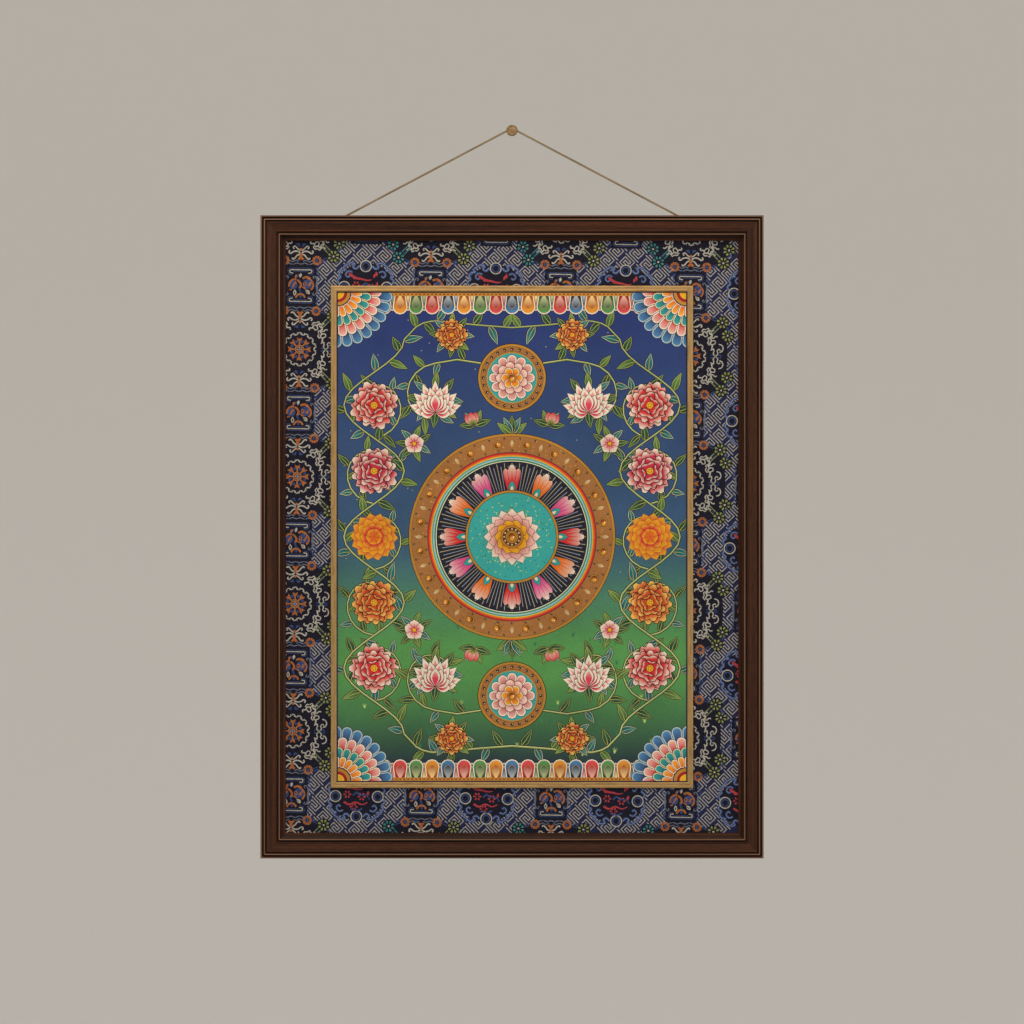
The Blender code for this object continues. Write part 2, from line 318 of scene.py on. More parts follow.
# %% Twisted cotton
FIBRE_SCALE, SOIL_SCALE = 900.0, 35.0  # per metre: streaks of 1.1 mm, soiled patches of 29 mm
cotton, tree, shader = material("twisted_cotton_cord", Roughness=0.88, Sheen_Weight=0.35, Sheen_Roughness=0.6)
where = add(tree, "TexCoord").outputs["Object"]
fibres = noise(tree, where, FIBRE_SCALE, 3.0)
soil = noise(tree, where, SOIL_SCALE, 2.0)
both = add(tree, "Math", {0: fibres, 1: soil}, operation="MULTIPLY")
link(tree, ramp(tree, both, ((0.1, "#5f4e33"), (0.45, "#917a53"))), shader, "Base Color")
raised(tree, shader, fibres, 0.4, 0.2 * MM)

cord_surface = tube(cord_path, (0, 1, 0), CORD_DIAMETER / 2, 18, twist=True)
cord = piece("twisted_cord", *cord_surface, cotton, "cord", sharp=80, replaces=["hanging_cord"])

# %% [markdown]
# ## The ring hangers
# Each end of the cord is tied to a D ring in a folded steel strap on the back of a side rail, in line
# with the cord's pull. The photograph doesn't show them, so they are the ordinary zinc plated kind.

# %% Where each hanger is
RING_APEX = (252.5 * MM, -130.51 * MM)
RING_REACH, RING_HALF_WIDTH, RING_WIRE = 8.0 * MM, 6.0 * MM, 0.9 * MM
BAR_OFF_RAIL = 2.2 * MM
ring_tilt = asin((CORD_Y - RAIL_BACK_Y - BAR_OFF_RAIL) / RING_REACH)


def hanger_axes(side):
    """The bar's middle, and the directions along the pull, across the strap and off the rail."""
    pull = np.array([-side * cos(CORD_SLOPE), 0, sin(CORD_SLOPE)])
    off = np.array([0.0, 1.0, 0.0])
    apex = np.array([side * RING_APEX[0], RAIL_BACK_Y, RING_APEX[1]])
    return apex - pull * RING_REACH * cos(ring_tilt), pull, np.cross(off, pull), off


def ring_path(steps=24):
    """A D: a half circle at the far end and two rounded corners at the bar."""
    corner = RING_REACH - RING_HALF_WIDTH
    bow = np.radians(np.linspace(90, -90, 2 * steps))
    foot = np.radians(np.linspace(-90, -180, steps // 2))
    bow = np.stack([corner + RING_HALF_WIDTH * np.cos(bow), RING_HALF_WIDTH * np.sin(bow)], -1)
    foot = np.stack([corner + corner * np.cos(foot), corner - RING_HALF_WIDTH + corner * np.sin(foot)], -1)
    bar = np.array([(0.0, 0.0)])
    return np.concatenate([bow, foot[1:], bar, (foot * (1, -1))[::-1][:-1]])


print(f"the rings lean {ring_tilt:.3f} rad off the rails, {len(ring_path())} points round each")

# %% [markdown]
# Zinc plate on steel is a cool light grey with a faint crystalline mottle. The straps keep their
# solids and only take the finish.

# %% Zinc plated steel
MOTTLE_SCALE = 900.0                   # per metre: crystals of 1.1 mm
zinc, tree, shader = material("zinc_plated_steel", Metallic=1.0, Roughness=0.36)
where = add(tree, "TexCoord").outputs["Object"]
mottle = add(tree, "TexVoronoi", {"Vector": where, "Scale": MOTTLE_SCALE})
link(tree, ramp(tree, mottle.outputs["Color"], ((0.2, "#a9abaa"), (0.9, "#cfd0cc"))), shader, "Base Color")
for word in ("left", "right"):
    refinish(f"hanger_plate_{word}", zinc)
print("zinc plate on the straps")

# %% [markdown]
# The ring is a closed tube along the D. The screw's dome is a grid of radius and angle whose height
# is a formula, so its cross recess is a term in that formula and needs no cutting.

# %% Rings and screws
DOME_RADIUS, DOME_HEIGHT = 2.6 * MM, 1.5 * MM
SLOT_HALF_WIDTH, SLOT_REACH, SLOT_DEPTH = 0.13, 0.62, 0.55     # shares of the dome's radius and height
SCREW_FROM_BAR, SCREW_OFF_RAIL = 7.5 * MM, 1.6 * MM


def screw_head(rows=26, columns=64):
    """A dome with a cross recess: height * sqrt(1 - r^2), less a trough along each of two lines."""
    r = np.linspace(0, 1, rows)[1:, None] * np.ones(columns)
    x, y = r * np.cos(around(columns)), r * np.sin(around(columns))
    slots = [np.exp(-(a / SLOT_HALF_WIDTH) ** 4) * (np.abs(b) < SLOT_REACH) for a, b in ((x, y), (y, x))]
    trough = np.maximum(*slots)
    height = DOME_HEIGHT * (np.sqrt(np.maximum(1 - r**2, 0)) - SLOT_DEPTH * trough * (1 - r**2))
    top = np.array([[0, 0, (1 - SLOT_DEPTH) * DOME_HEIGHT]])
    points = np.stack([x * DOME_RADIUS, y * DOME_RADIUS, height], -1).reshape(-1, 3)
    fan = [[0, 1 + j, 1 + (j + 1) % columns] for j in range(columns)]
    rim = 1 + (rows - 2) * columns
    base = [list(range(rim, rim + columns))[::-1]]
    return np.concatenate([top, points]), fan + net(rows - 1, columns, loop_columns=True, start=1) + base


for side, word in ((1, "right"), (-1, "left")):
    bar, pull, across, off = hanger_axes(side)
    tilted = cos(ring_tilt) * pull + sin(ring_tilt) * off
    plane = np.cross(tilted, across)
    path = bar + BAR_OFF_RAIL * off + ring_path() @ np.stack([tilted, across])
    piece(f"steel_ring_{word}", *tube(path, plane, RING_WIRE, 16, closed=True), zinc, "steel",
          sharp=60, replaces=[f"hanger_ring_{word}"])
    dome, dome_faces = screw_head()
    seat = bar - SCREW_FROM_BAR * pull + SCREW_OFF_RAIL * off
    piece(f"steel_screw_{word}", seat + dome @ np.stack([pull, across, off]), dome_faces, zinc, "steel",
          replaces=[f"hanger_screw_{word}"])

# %% [markdown]
# The cord's end goes through the ring and is whipped: a few tight turns hold it against the standing
# part. The turns are a helix, and the loop is a circle of cord, a hair's breadth clear of the wire.

# %% The cord's tied ends
LOOP_RADIUS = 2.9 * MM
HAIR = 0.3 * MM
WHIP_TURNS, WHIP_WIRE = 5, 0.45 * MM
WHIP_BED = 0.7                         # share of the thread's radius that stands clear of the cord
WHIP_FROM_LOOP = 1.2 * MM


def whipping(start, along, normal, turns=WHIP_TURNS, wire=WHIP_WIRE, sides=8):
    """A helix round a line: start + s along + radius * (cos a, sin a), and a tube round that helix."""
    a = np.linspace(0, 2 * pi * turns, 24 * turns)
    side = np.cross(along, normal)
    out = np.cos(a)[:, None] * side + np.sin(a)[:, None] * np.asarray(normal)
    path = start + (2 * wire * a / (2 * pi))[:, None] * along + (CORD_DIAMETER / 2 + wire * WHIP_BED) * out
    b = around(sides)
    points = path[:, None] + wire * (np.cos(b)[None, :, None] * out[:, None]
                                     + np.sin(b)[None, :, None] * np.asarray(along))
    return points.reshape(-1, 3), [face[::-1] for face in capped(len(path), sides)]


for side, word in ((1, "right"), (-1, "left")):
    bar, pull, across, off = hanger_axes(side)
    apex = np.array([side * RING_APEX[0], CORD_Y, RING_APEX[1]])
    a = around(72)
    middle = apex + (LOOP_RADIUS - CORD_DIAMETER / 2 - RING_WIRE - HAIR) * pull
    path = middle + LOOP_RADIUS * (np.cos(a)[:, None] * pull + np.sin(a)[:, None] * off)
    loop = tube(path, across, CORD_DIAMETER / 2, 14, closed=True, twist=True)
    wraps = whipping(middle + (LOOP_RADIUS + WHIP_FROM_LOOP) * pull, pull, off)
    piece(f"tied_loop_{word}", *joined(loop, wraps), cotton, "cord", sharp=80,
                       replaces=[f"cord_loop_{word}"])

# %% [markdown]
# The cord's path ends at one ring, from where it runs taut over the peg.

# %% Where the cord ends
print("the cord runs taut from", [round(float(v), 4) for v in cord_path[-1]], "over the peg")

# %% [markdown]
# ## The wall peg
# The peg is turned from brass: a flat head with a raised rim, a neck that carries the cord, and a
# flange against the wall. It is one section swept round an axis.

# %% Turn the peg
PEG_SIDES = 96


def arc(centre, radii, start, end, steps):
    """Points on an ellipse from one angle to another, in degrees, as (across, along)."""
    t = np.radians(np.linspace(start, end, steps))
    return np.stack([centre[0] + radii[0] * np.cos(t), centre[1] + radii[1] * np.sin(t)], -1)


peg_section = np.concatenate([
    [(0.01, 10.7), (1.6, 10.68), (3.2, 10.6), (4.1, 10.5), (4.35, 10.62), (4.6, 10.88)],
    arc((4.9, 9.6), (1.3, 1.4), 96, 0, 9),
    arc((5.0, 8.9), (1.2, 1.3), -8, -85, 8),
    arc((1.4, 7.2), (0.4, 0.4), 90, 180, 4),
    arc((1.8, 2.2), (0.8, 0.8), 180, 268, 6),
    arc((4.6, 0.9), (0.4, 0.4), 85, 0, 4),
    [(5.0, 0.0)],
]) * MM
peg_radius, peg_out = peg_section[:, :1], peg_section[:, 1:]
turn = around(PEG_SIDES)
peg_wide, peg_deep = peg_radius * np.cos(turn), peg_radius * np.sin(turn)
peg_points = np.stack([peg_wide, -peg_out * np.ones(PEG_SIDES), peg_deep], -1)
peg_faces = capped(len(peg_section), PEG_SIDES)
print(f"peg {2 * peg_radius.max() / MM:.1f} mm across, {peg_out.max() / MM:.1f} mm off the wall")

# %% [markdown]
# Handled brass: its polish is broken by fine rings from the tool and a soft brown tarnish in patches.

# %% Turned brass
TARNISH_SCALE, TOOL_RING_SCALE = 260.0, 420.0      # per metre: patches of 4 mm, rings 0.75 mm apart
brass, tree, shader = material("turned_brass", Metallic=1.0)
where = add(tree, "TexCoord").outputs["Object"]
tarnish = noise(tree, where, TARNISH_SCALE, 4.0)
link(tree, ramp(tree, tarnish, ((0.3, "#796346"), (0.7, "#a08865"))), shader, "Base Color")
spread = ranged(tree, tarnish, 0.74, 0.6)
link(tree, spread, shader, "Roughness")
tool_rings = {"Vector": where, "Scale": TOOL_RING_SCALE, "Distortion": 0.0}
rings = add(tree, "TexWave", tool_rings, wave_type="RINGS", rings_direction="Y")
raised(tree, shader, rings.outputs["Fac"], 0.08, 0.1 * MM)
piece("turned_peg", peg_points, peg_faces, brass, "brass", sharp=28, replaces=["wall_peg"])

# %% [markdown]
# ## The moulding
# A picture frame is one length of moulding, cut into four and mitred. Its section is drawn in
# millimetres, across from the outer edge and out from the back. Every corner of it gets a small
# curve, because sanded wood has no knife edges and the light should catch them.

# %% The moulding's section
WOOD_EDGE, GILT_EDGE = 0.22, 0.1       # millimetres, the rounding of each corner


def bead(left, right, foot, crown, steps=9):
    """A rounded bead: half an ellipse from left to right, between its foot and its crown."""
    return arc(((left + right) / 2, foot), ((right - left) / 2, crown - foot), 180, 0, steps)


def softened(section, radius):
    """Each corner becomes a quadratic curve, up to 0.4 of the way to the next corner at most."""
    before, after = np.roll(section, 1, 0) - section, np.roll(section, -1, 0) - section
    reach_b, reach_a = np.linalg.norm(before, axis=1), np.linalg.norm(after, axis=1)
    first = section + before * (np.minimum(radius, 0.4 * reach_b) / reach_b)[:, None]
    last = section + after * (np.minimum(radius, 0.4 * reach_a) / reach_a)[:, None]
    middle = 0.25 * first + 0.5 * section + 0.25 * last
    return np.stack([first, middle, last], 1).reshape(-1, 2)


RAIL_SECTION = softened(np.concatenate([
    [(0.0, 0.0)],
    bead(0.0, 2.1, 20.6, 22.2),
    [(2.3, 19.6), (3.3, 19.6)],
    bead(3.5, 5.6, 22.4, 24.6),
    [(5.8, 21.4), (6.8, 21.4)],
    [(7.0, 23.3), (8.4, 23.1), (15.2, 22.1), (16.6, 21.9)],
    [(16.8, 22.6), (17.7, 22.5)],
    [(17.8, 19.4), (19.5, 19.4)],
    bead(19.7, 21.6, 21.6, 23.2),
    [(21.8, 16.6), (24.4, 15.6), (24.6, 15.0)],
    [(25.4, 14.2), (27.4, 12.2), (27.4, 10.0)],
    [(17.4, 10.0), (17.4, 0.0)],
]), WOOD_EDGE) * MM
FILLET_WIDTH = 6.3
FILLET_SECTION = softened(np.concatenate([
    [(0.0, 0.0)], bead(0.0, FILLET_WIDTH / 2, 3.1, 3.4), bead(FILLET_WIDTH / 2, FILLET_WIDTH, 3.1, 3.4)[1:],
    [(FILLET_WIDTH, 0.0)],
]), GILT_EDGE) * MM
print(f"moulding section of {len(RAIL_SECTION)} points, fillet section of {len(FILLET_SECTION)}")

# %% [markdown]
# A mitre is a saw cut at 45 degrees, so each side shrinks by as much as its section moves in.

# %% Mitred strips
MITRE_PLAY = 0.02 * MM                 # half the fine joint between two rails


def turning(a, b, c):
    """Twice the area of each triangle, positive where it turns to the left."""
    one, two = b - a, c - a
    return one[:, 0] * two[:, 1] - one[:, 1] * two[:, 0]


def strip(section, length, reach, turn, back_y, centre, marks=2):
    """Each point of the section runs from -(length/2 - across) to +(length/2 - across), turned round."""
    across, out = section[:, 0], section[:, 1]
    along = (length / 2 - across - MITRE_PLAY)[None, :] * np.linspace(-1, 1, marks)[:, None]
    x, z = along, np.broadcast_to(reach - across, along.shape)
    y = np.broadcast_to(back_y - out, along.shape)
    c, s = cos(turn), sin(turn)
    points = np.stack([centre[0] + c * x + s * z, y, centre[2] - s * x + c * z], -1)
    count = len(section)
    cap = [tuple(face) for face in tessellate_polygon([[Vector((a, b, 0)) for a, b in section]])]
    if turning(*section[np.array(cap).T]).sum() < 0:
        cap = [face[::-1] for face in cap]
    last = (marks - 1) * count
    faces = net(marks, count, loop_columns=True)
    faces += [face[::-1] for face in cap] + [tuple(v + last for v in face) for face in cap]
    return points.reshape(-1, 3), faces, along.reshape(-1)


trial = strip(RAIL_SECTION, FRAME_WIDTH, FRAME_HEIGHT / 2, 0.0, RAIL_BACK_Y, MIDDLE)
print(f"one rail has {len(trial[0])} points and {len(trial[1])} faces")

# %% [markdown]
# Where dusters rub a stained moulding it goes pale, and polish gathers dark in the hollows. Here the
# pale crests are also painted highlights and the near black hollows are also painted shade. Each crest
# and hollow is a place across the section and how strongly it shows, which the material reads.

# %% Rubbing, painted highlight, wax and painted shade across the section
# Crests are paler from rubbing and painted highlight, hollows darker from wax and painted shade.
CRESTS = ((1.05, 0.9), (4.55, 1.0), (17.2, 0.15), (20.65, 1.0), (26.0, 0.3))
HOLLOWS = ((2.8, 0.9), (6.3, 1.0), (18.65, 1.0), (22.6, 1.0), (24.0, 0.8))
CREST_SPREAD, HOLLOW_SPREAD = 0.75, 0.6
FACE_FROM = 11.0                       # the back and the rebate, nearer the wall than this, stay plain


def worn_and_shaded_face(section):
    """From -1 in a hollow, for wax and painted shade, to +1 on a crest, for rubbing and painted highlight:
    a bell curve round each, by its own share.
    """
    across, out = section.T / MM
    rubbed_and_lit = [share * np.exp(-((across - spot) / CREST_SPREAD) ** 2) for spot, share in CRESTS]
    waxed_and_shaded = [share * np.exp(-((across - spot) / HOLLOW_SPREAD) ** 2) for spot, share in HOLLOWS]
    return (np.max(rubbed_and_lit, axis=0) - np.max(waxed_and_shaded, axis=0)) * (out > FACE_FROM)


print(f"wear runs from {worn_and_shaded_face(RAIL_SECTION).min():.2f} to {worn_and_shaded_face(RAIL_SECTION).max():.2f}")

# %% [markdown]
# Four strips make a surround. Wood grain has to run along each of them, round every bead, so each
# strip gets a UV map in metres: the way along it, and the way round its section.

# %% Four strips round a rectangle
GRAIN_STEP = 1.7                       # metres along the plank between one strip's grain and the next


def surround(kind, section, width, height, back_y, finish, slot, nodes, marks=2):
    """Four strips round a rectangle, each with its own length of grain as a UV map."""
    girth = np.concatenate([[0], np.cumsum(np.linalg.norm(np.diff(section, axis=0), axis=1))])
    for k, side in enumerate(("top", "right", "bottom", "left")):
        length, reach = ((width, height / 2), (height, width / 2))[k % 2]
        points, faces, along = strip(section, length, reach, radians(90 * k), back_y, MIDDLE, marks)
        mesh = piece(f"{kind}_{side}", points, faces, finish, slot, replaces=[f"{nodes}_{side}"]).data
        corner = np.zeros(len(mesh.loops), int)
        mesh.loops.foreach_get("vertex_index", corner)
        grain = np.stack([along + GRAIN_STEP * k, np.tile(girth, marks)], -1)
        layer = mesh.uv_layers.new(name="Grain")
        layer.data.foreach_set("uv", grain[corner].astype(np.float32).reshape(-1))
        # Each point's mark: crests paler from rubbing and painted highlight, hollows darker from wax and
        # painted shade.
        wear_and_shade = mesh.attributes.new("WearAndShade", "FLOAT", "POINT")
        wear_and_shade.data.foreach_set("value", np.tile(worn_and_shaded_face(section), marks).astype(np.float32))


# %% [markdown]
# Stained hardwood under a satin lacquer: a dark red brown ground with darker pores along each rail,
# near black in the hollows as wax and painted shade, and a lighter brown on the beads as rubbing and
# painted highlight. Real pores are 0.2 mm across; here they are 0.8 mm, the finest that shows.

# %% Stained moulding
PORE_SCALE = (1 / (14 * MM), 1 / (0.8 * MM), 1.0)     # pores 14 mm long and 0.8 mm across
FIGURE_SCALE = (3.0, 190.0, 1.0)                      # per metre: bands 330 mm long and 5 mm across
walnut, tree, shader = material("stained_hardwood_with_painted_light_and_shade", Specular_IOR_Level=0.14,
                                Coat_Weight=0.03, Coat_Roughness=0.35)
grain = add(tree, "UVMap", uv_map="Grain")
stretch = add(tree, "Mapping", {"Vector": grain, "Scale": PORE_SCALE})
pores = noise(tree, stretch, 1.0, 5.0, Roughness=0.62)
bands = add(tree, "Mapping", {"Vector": grain, "Scale": FIGURE_SCALE})
figure = noise(tree, bands, 1.0, 3.0)
blend = add(tree, "Math", {0: pores, 1: figure}, operation="MULTIPLY")
stain = ramp(tree, blend, ((0.12, "#1c0e07"), (0.24, "#371c0d"), (0.42, "#4f2a16")))
# The section's mark: crests paler from rubbing and painted highlight, hollows darker from wax and painted
# shade.
wear_and_shade = add(tree, "Attribute", attribute_name="WearAndShade")
patchy = add(tree, "Math", {0: wear_and_shade.outputs["Fac"], 1: figure}, operation="MULTIPLY")
bared_and_lit = ranged(tree, patchy, 0.0, 1.0, 0.08, 0.5)
rubbed_and_lit = add(tree, "Mix", {"Factor": bared_and_lit, "A": stain, "B": "#7b5d49"}, data_type="RGBA")
# In the hollows the colour drops to 0.15 of itself: wax and painted shade.
waxed_and_shaded = ranged(tree, wear_and_shade.outputs["Fac"], 0.15, 1.0, -0.8, -0.1)
coloured = add(tree, "VectorMath", {0: rubbed_and_lit.outputs["Result"], "Scale": waxed_and_shaded},
               operation="SCALE")
link(tree, coloured, shader, "Base Color")
gloss = ranged(tree, pores, 0.68, 0.5)
link(tree, gloss, shader, "Roughness")
raised(tree, shader, pores, 0.25, 0.15 * MM)

surround("moulding", RAIL_SECTION, FRAME_WIDTH, FRAME_HEIGHT, RAIL_BACK_Y, walnut, "moulding", "rail")

# %% [markdown]
# ## The gilt fillet
# A narrow slip of wood, two flat reeds wide, is laid round the painting. Real gilding shows faint lap
# lines across the slip and a fine stipple from the clay under it.

# %% Gilt slip
LAP_SCALE = (55.0, 300.0, 1.0)         # per metre: laps 18 mm apart, 3 mm streaks across them
STIPPLE_SCALE = 1400.0                 # per metre: grains of 0.7 mm
gilding, tree, shader = material("gilded_wood_slip", Metallic=0.65)
grain = add(tree, "UVMap", uv_map="Grain")
laps = add(tree, "Mapping", {"Vector": grain, "Scale": LAP_SCALE})
tone = noise(tree, laps, 1.0, 3.0)
stipple = noise(tree, grain, STIPPLE_SCALE, 2.0)
leaf_tone = add(tree, "Math", {0: tone, 1: stipple}, operation="ADD")
link(tree, ramp(tree, leaf_tone, ((0.7, "#7c5e35"), (1.3, "#a88755"))), shader, "Base Color")
gloss = ranged(tree, stipple, 0.62, 0.42)
link(tree, gloss, shader, "Roughness")
raised(tree, shader, stipple, 0.35, 0.2 * MM)

slip_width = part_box("fillet_right")[1].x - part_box("fillet_left")[0].x
slip_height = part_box("fillet_top")[1].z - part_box("fillet_bottom")[0].z
slip_back_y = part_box("fillet_right")[1].y
surround("gilt_slip", FILLET_SECTION, slip_width, slip_height, slip_back_y, gilding, "gilt", "fillet")

# %% [markdown]
# ## The backing board
# The board keeps its solid, because a plain board needs no other shape. It is raw fibreboard, seen
# only from behind: a warm brown felt of wood fibres with no grain direction.

# %% Fibreboard
FELT_SCALE, PATCH_SCALE = 900.0, 14.0  # per metre: fibres of 1.1 mm, faint patches of 70 mm
board, tree, shader = material("raw_fibreboard", Roughness=0.85)
where = add(tree, "TexCoord").outputs["Object"]
felt = noise(tree, where, FELT_SCALE, 4.0, Roughness=0.7)
patches = noise(tree, where, PATCH_SCALE, 3.0)
fibre_tone = add(tree, "Math", {0: patches, 1: 0.25, 2: felt},
                 operation="MULTIPLY_ADD")
link(tree, ramp(tree, fibre_tone, ((0.45, "#8b6f50"), (0.8, "#9d7f5b"))), shader, "Base Color")
raised(tree, shader, felt, 0.3, 0.2 * MM)
refinish("backing_board", board)
print("fibreboard on the backing board")

# %% [markdown]
# ## Pictures made of flat shapes
# A painting and a brocade are both flat areas of colour with crisp edges, so each petal and thread
# motif here is an outline in millimetres. They are laid over each other in order, a constrained
# triangulation cuts them apart, and each triangle takes the colour of the topmost shape.
#
# A motif is drawn once round its own origin, and a matrix says where it goes. Matrices multiply, so a
# petal can be placed in a flower and the flower on the cloth.

# %% Where a motif goes
def place(x=0.0, y=0.0, turn=0.0):
    """The 3 by 3 matrix that turns a motif by so many degrees and moves it to x, y."""
    c, s = np.cos(radians(turn)), np.sin(radians(turn))
    return np.array([(c, -s, x), (s, c, y), (0, 0, 1)])


HOME = place()
MIRROR = np.diag([-1.0, 1.0, 1.0])                 # left to right
OVER = np.diag([1.0, -1.0, 1.0])                   # upside down


def all_round(here, count, out=0.0, start=0.0, shift=0.0):
    """Places round a centre, turned by their share of a full turn, then moved out along their x axis."""
    for k in range(count):
        yield here @ place(0, 0, start + 360 * (k + shift) / count) @ place(out)


def twice(here):
    """The same place and its mirror image from left to right."""
    return here, here @ MIRROR


def upright_and_over(here):
    """The same place and its mirror image from top to bottom."""
    return here, here @ OVER


def four(here):
    """The same place, mirrored both ways."""
    return [flip for side in twice(here) for flip in upright_and_over(side)]


print("a motif 10 mm out, a quarter turn round, lands at", (place(0, 0, 90) @ place(10))[:2, 2].round(3))

# %% [markdown]
# Most outlines are a run of numbers along an axis and a half width worked out from it. They have as
# few corners as still look round, because every corner costs triangles.

# %% Plain outlines
def swollen(outline, by):
    """The outline pushed out by a width along its normals, which are a quarter turn from its run."""
    run = np.roll(outline, -1, 0) - np.roll(outline, 1, 0)
    normal = np.stack([run[:, 1], -run[:, 0]], -1)
    return outline + by * normal / np.maximum(np.linalg.norm(normal, axis=1), TINY)[:, None]


def disc(radius, points=16, start=0.0):
    """A circle: radius times cosine and sine of an even run of angles."""
    a = radians(start) + np.arange(points) * 2 * np.pi / points
    return radius * np.stack([np.cos(a), np.sin(a)], -1)


def rectangle(width, height):
    """Four corners round the origin, from the lower left one to the left turning way."""
    return np.array([(-1, -1), (1, -1), (1, 1), (-1, 1)]) * (width / 2, height / 2)


def both_sides(x, half):
    """An outline that runs out along +x at minus half and back at plus half."""
    out, back = np.stack([x, -half], -1), np.stack([x, half], -1)[::-1]
    pointed = abs(half[0]) < TINY and abs(half[-1]) < TINY
    return np.concatenate([out, back[1:-1] if pointed else back])


def petal(length, width, blunt=1.3, points=7, fine=1.0):
    """A pointed petal: half width = half of width times sine of pi times t to the power blunt."""
    t = np.linspace(0, 1, points)
    half = 0.5 * width * np.sin(np.pi * t ** blunt) ** fine
    half[[0, -1]] = 0
    return both_sides(length * t, half)


def tongue(length, width, points=7, root=0.7):
    """A petal with straight sides and a round end."""
    a = np.linspace(-np.pi / 2, np.pi / 2, points)
    end = min(0.5 * width, 0.8 * length)
    rim = np.stack([length - end + end * np.cos(a), 0.5 * width * np.sin(a)], -1)
    return np.concatenate([[(0, 0.5 * root * width), (0, -0.5 * root * width)], rim])


def frilled(length, width, lobes=3, depth=0.14, foot=0.3):
    """A fan with a frilled rim: the rim swings from side to side, and every third point of it dips."""
    a = np.linspace(-1, 1, 3 * lobes + 1)
    reach = 1 - depth * (np.arange(len(a)) % 3 == 0)
    out, side = length * (0.55 + 0.45 * np.cos(1.35 * a)) * reach, 0.5 * width * np.sin(1.5 * a) * reach
    rim = np.stack([out, side], -1)
    return np.concatenate([[(0, foot * width / 2), (0, -foot * width / 2)], rim])


print("corners: disc", len(disc(1)), "petal", len(petal(1, 1)), "frilled petal", len(frilled(1, 1)))

# %% [markdown]
# A brush stroke or a thread is a path with a width: its sides are the path moved half of it each way.

# %% Strokes
def curve(points, steps=4):
    """A smooth run through a few points: Catmull-Rom cubics, with the ends' tangents one sided."""
    p = np.array(points, float)
    p = np.concatenate([[2 * p[0] - p[1]], p, [2 * p[-1] - p[-2]]])
    t = np.linspace(0, 1, steps, endpoint=False)[:, None]
    bits = [0.5 * (2 * b + (c - a) * t + (2 * a - 5 * b + 4 * c - d) * t ** 2
                   + (3 * b - a - 3 * c + d) * t ** 3) for a, b, c, d in zip(p, p[1:], p[2:], p[3:])]
    return np.concatenate(bits + [p[-2:-1]])


def band(path, width, end=None):
    """A stroke: the path moved half a width to each side of itself, tapering to the end width."""
    path = np.asarray(path, float)
    run = np.gradient(path, axis=0)
    normal = np.stack([run[:, 1], -run[:, 0]], -1) / np.maximum(np.linalg.norm(run, axis=1), TINY)[:, None]
    half = 0.5 * np.linspace(width, width if end is None else end, len(path))[:, None]
    return np.concatenate([path + half * normal, (path - half * normal)[::-1]])


def ribbon(path, width):
    """A stroke of even width with square corners: each point is moved along the mitre of its runs."""
    path = np.asarray(path, float)
    run = np.diff(path, axis=0)
    run = run / np.linalg.norm(run, axis=1)[:, None]
    normal = np.stack([run[:, 1], -run[:, 0]], -1)
    before, after = np.concatenate([normal[:1], normal]), np.concatenate([normal, normal[-1:]])
    mitre = (before + after) / (1 + np.sum(before * after, axis=1))[:, None]
    return np.concatenate([path + 0.5 * width * mitre, (path - 0.5 * width * mitre)[::-1]])


def spiral(centre, start, sweep, outer, inner, steps=9):
    """A scroll: the angle runs evenly over its sweep, in degrees, while the radius shrinks evenly."""
    a = np.radians(start + np.linspace(0, sweep, steps))
    return np.array(centre) + np.linspace(outer, inner, steps)[:, None] * np.stack([np.cos(a), np.sin(a)], -1)


def on_path(path, share):
    """The placement at a share of a path's points, turned the way that the path runs there."""
    k = share * (len(path) - 1)
    i = min(int(k), len(path) - 2)
    run = path[i + 1] - path[i]
    return place(*(path[i] + (k - i) * run), np.degrees(np.arctan2(run[1], run[0])))


print("a curve through 3 points has", len(curve([(0, 0), (1, 1), (2, 0)])), "points")

# %% [markdown]
# ### The chart
# A chart keeps the shapes in the order that they are painted. Each has a colour at its root and one
# at its tip, so that it can shade like a petal. What can't be seen is left out.

# %% A chart of painted shapes
SMALLEST_AREA = 0.02       # square millimetres; less than that is left out
FARTHEST = 90.0            # no motif reaches further than this from its middle, in millimetres
BESIDE = 0.02              # how far beside an edge its left side is looked at
SHORTEST_EDGE = 0.03


def signed_area(outline):
    """Half the sum of x times next y less y times next x, positive where the outline turns left."""
    x, y = outline.T
    return 0.5 * np.sum(x * np.roll(y, -1) - y * np.roll(x, -1))


def well_ended(p):
    """The outline, ended on its longest edge with the inside on its left, from where it is filled.
    Inside, the angles to all the corners add up to a full turn."""
    run = np.roll(p, -1, 0) - p
    length = np.linalg.norm(run, axis=1)
    left = BESIDE * np.stack([-run[:, 1], run[:, 0]], -1) / np.maximum(length, TINY)[:, None]
    for share in (0.1, 0.5, 0.9):
        sight = p[None] - (p + share * run + left)[:, None]
        angle = np.arctan2(sight[..., 1], sight[..., 0])
        step = np.roll(angle, -1, 1) - angle
        turns = ((step + np.pi) % (2 * np.pi) - np.pi).sum(1)
        length[turns < np.pi] = 0
    return np.roll(p, -int(np.argmax(length)) - 1, 0) if length.max() > SHORTEST_EDGE else None


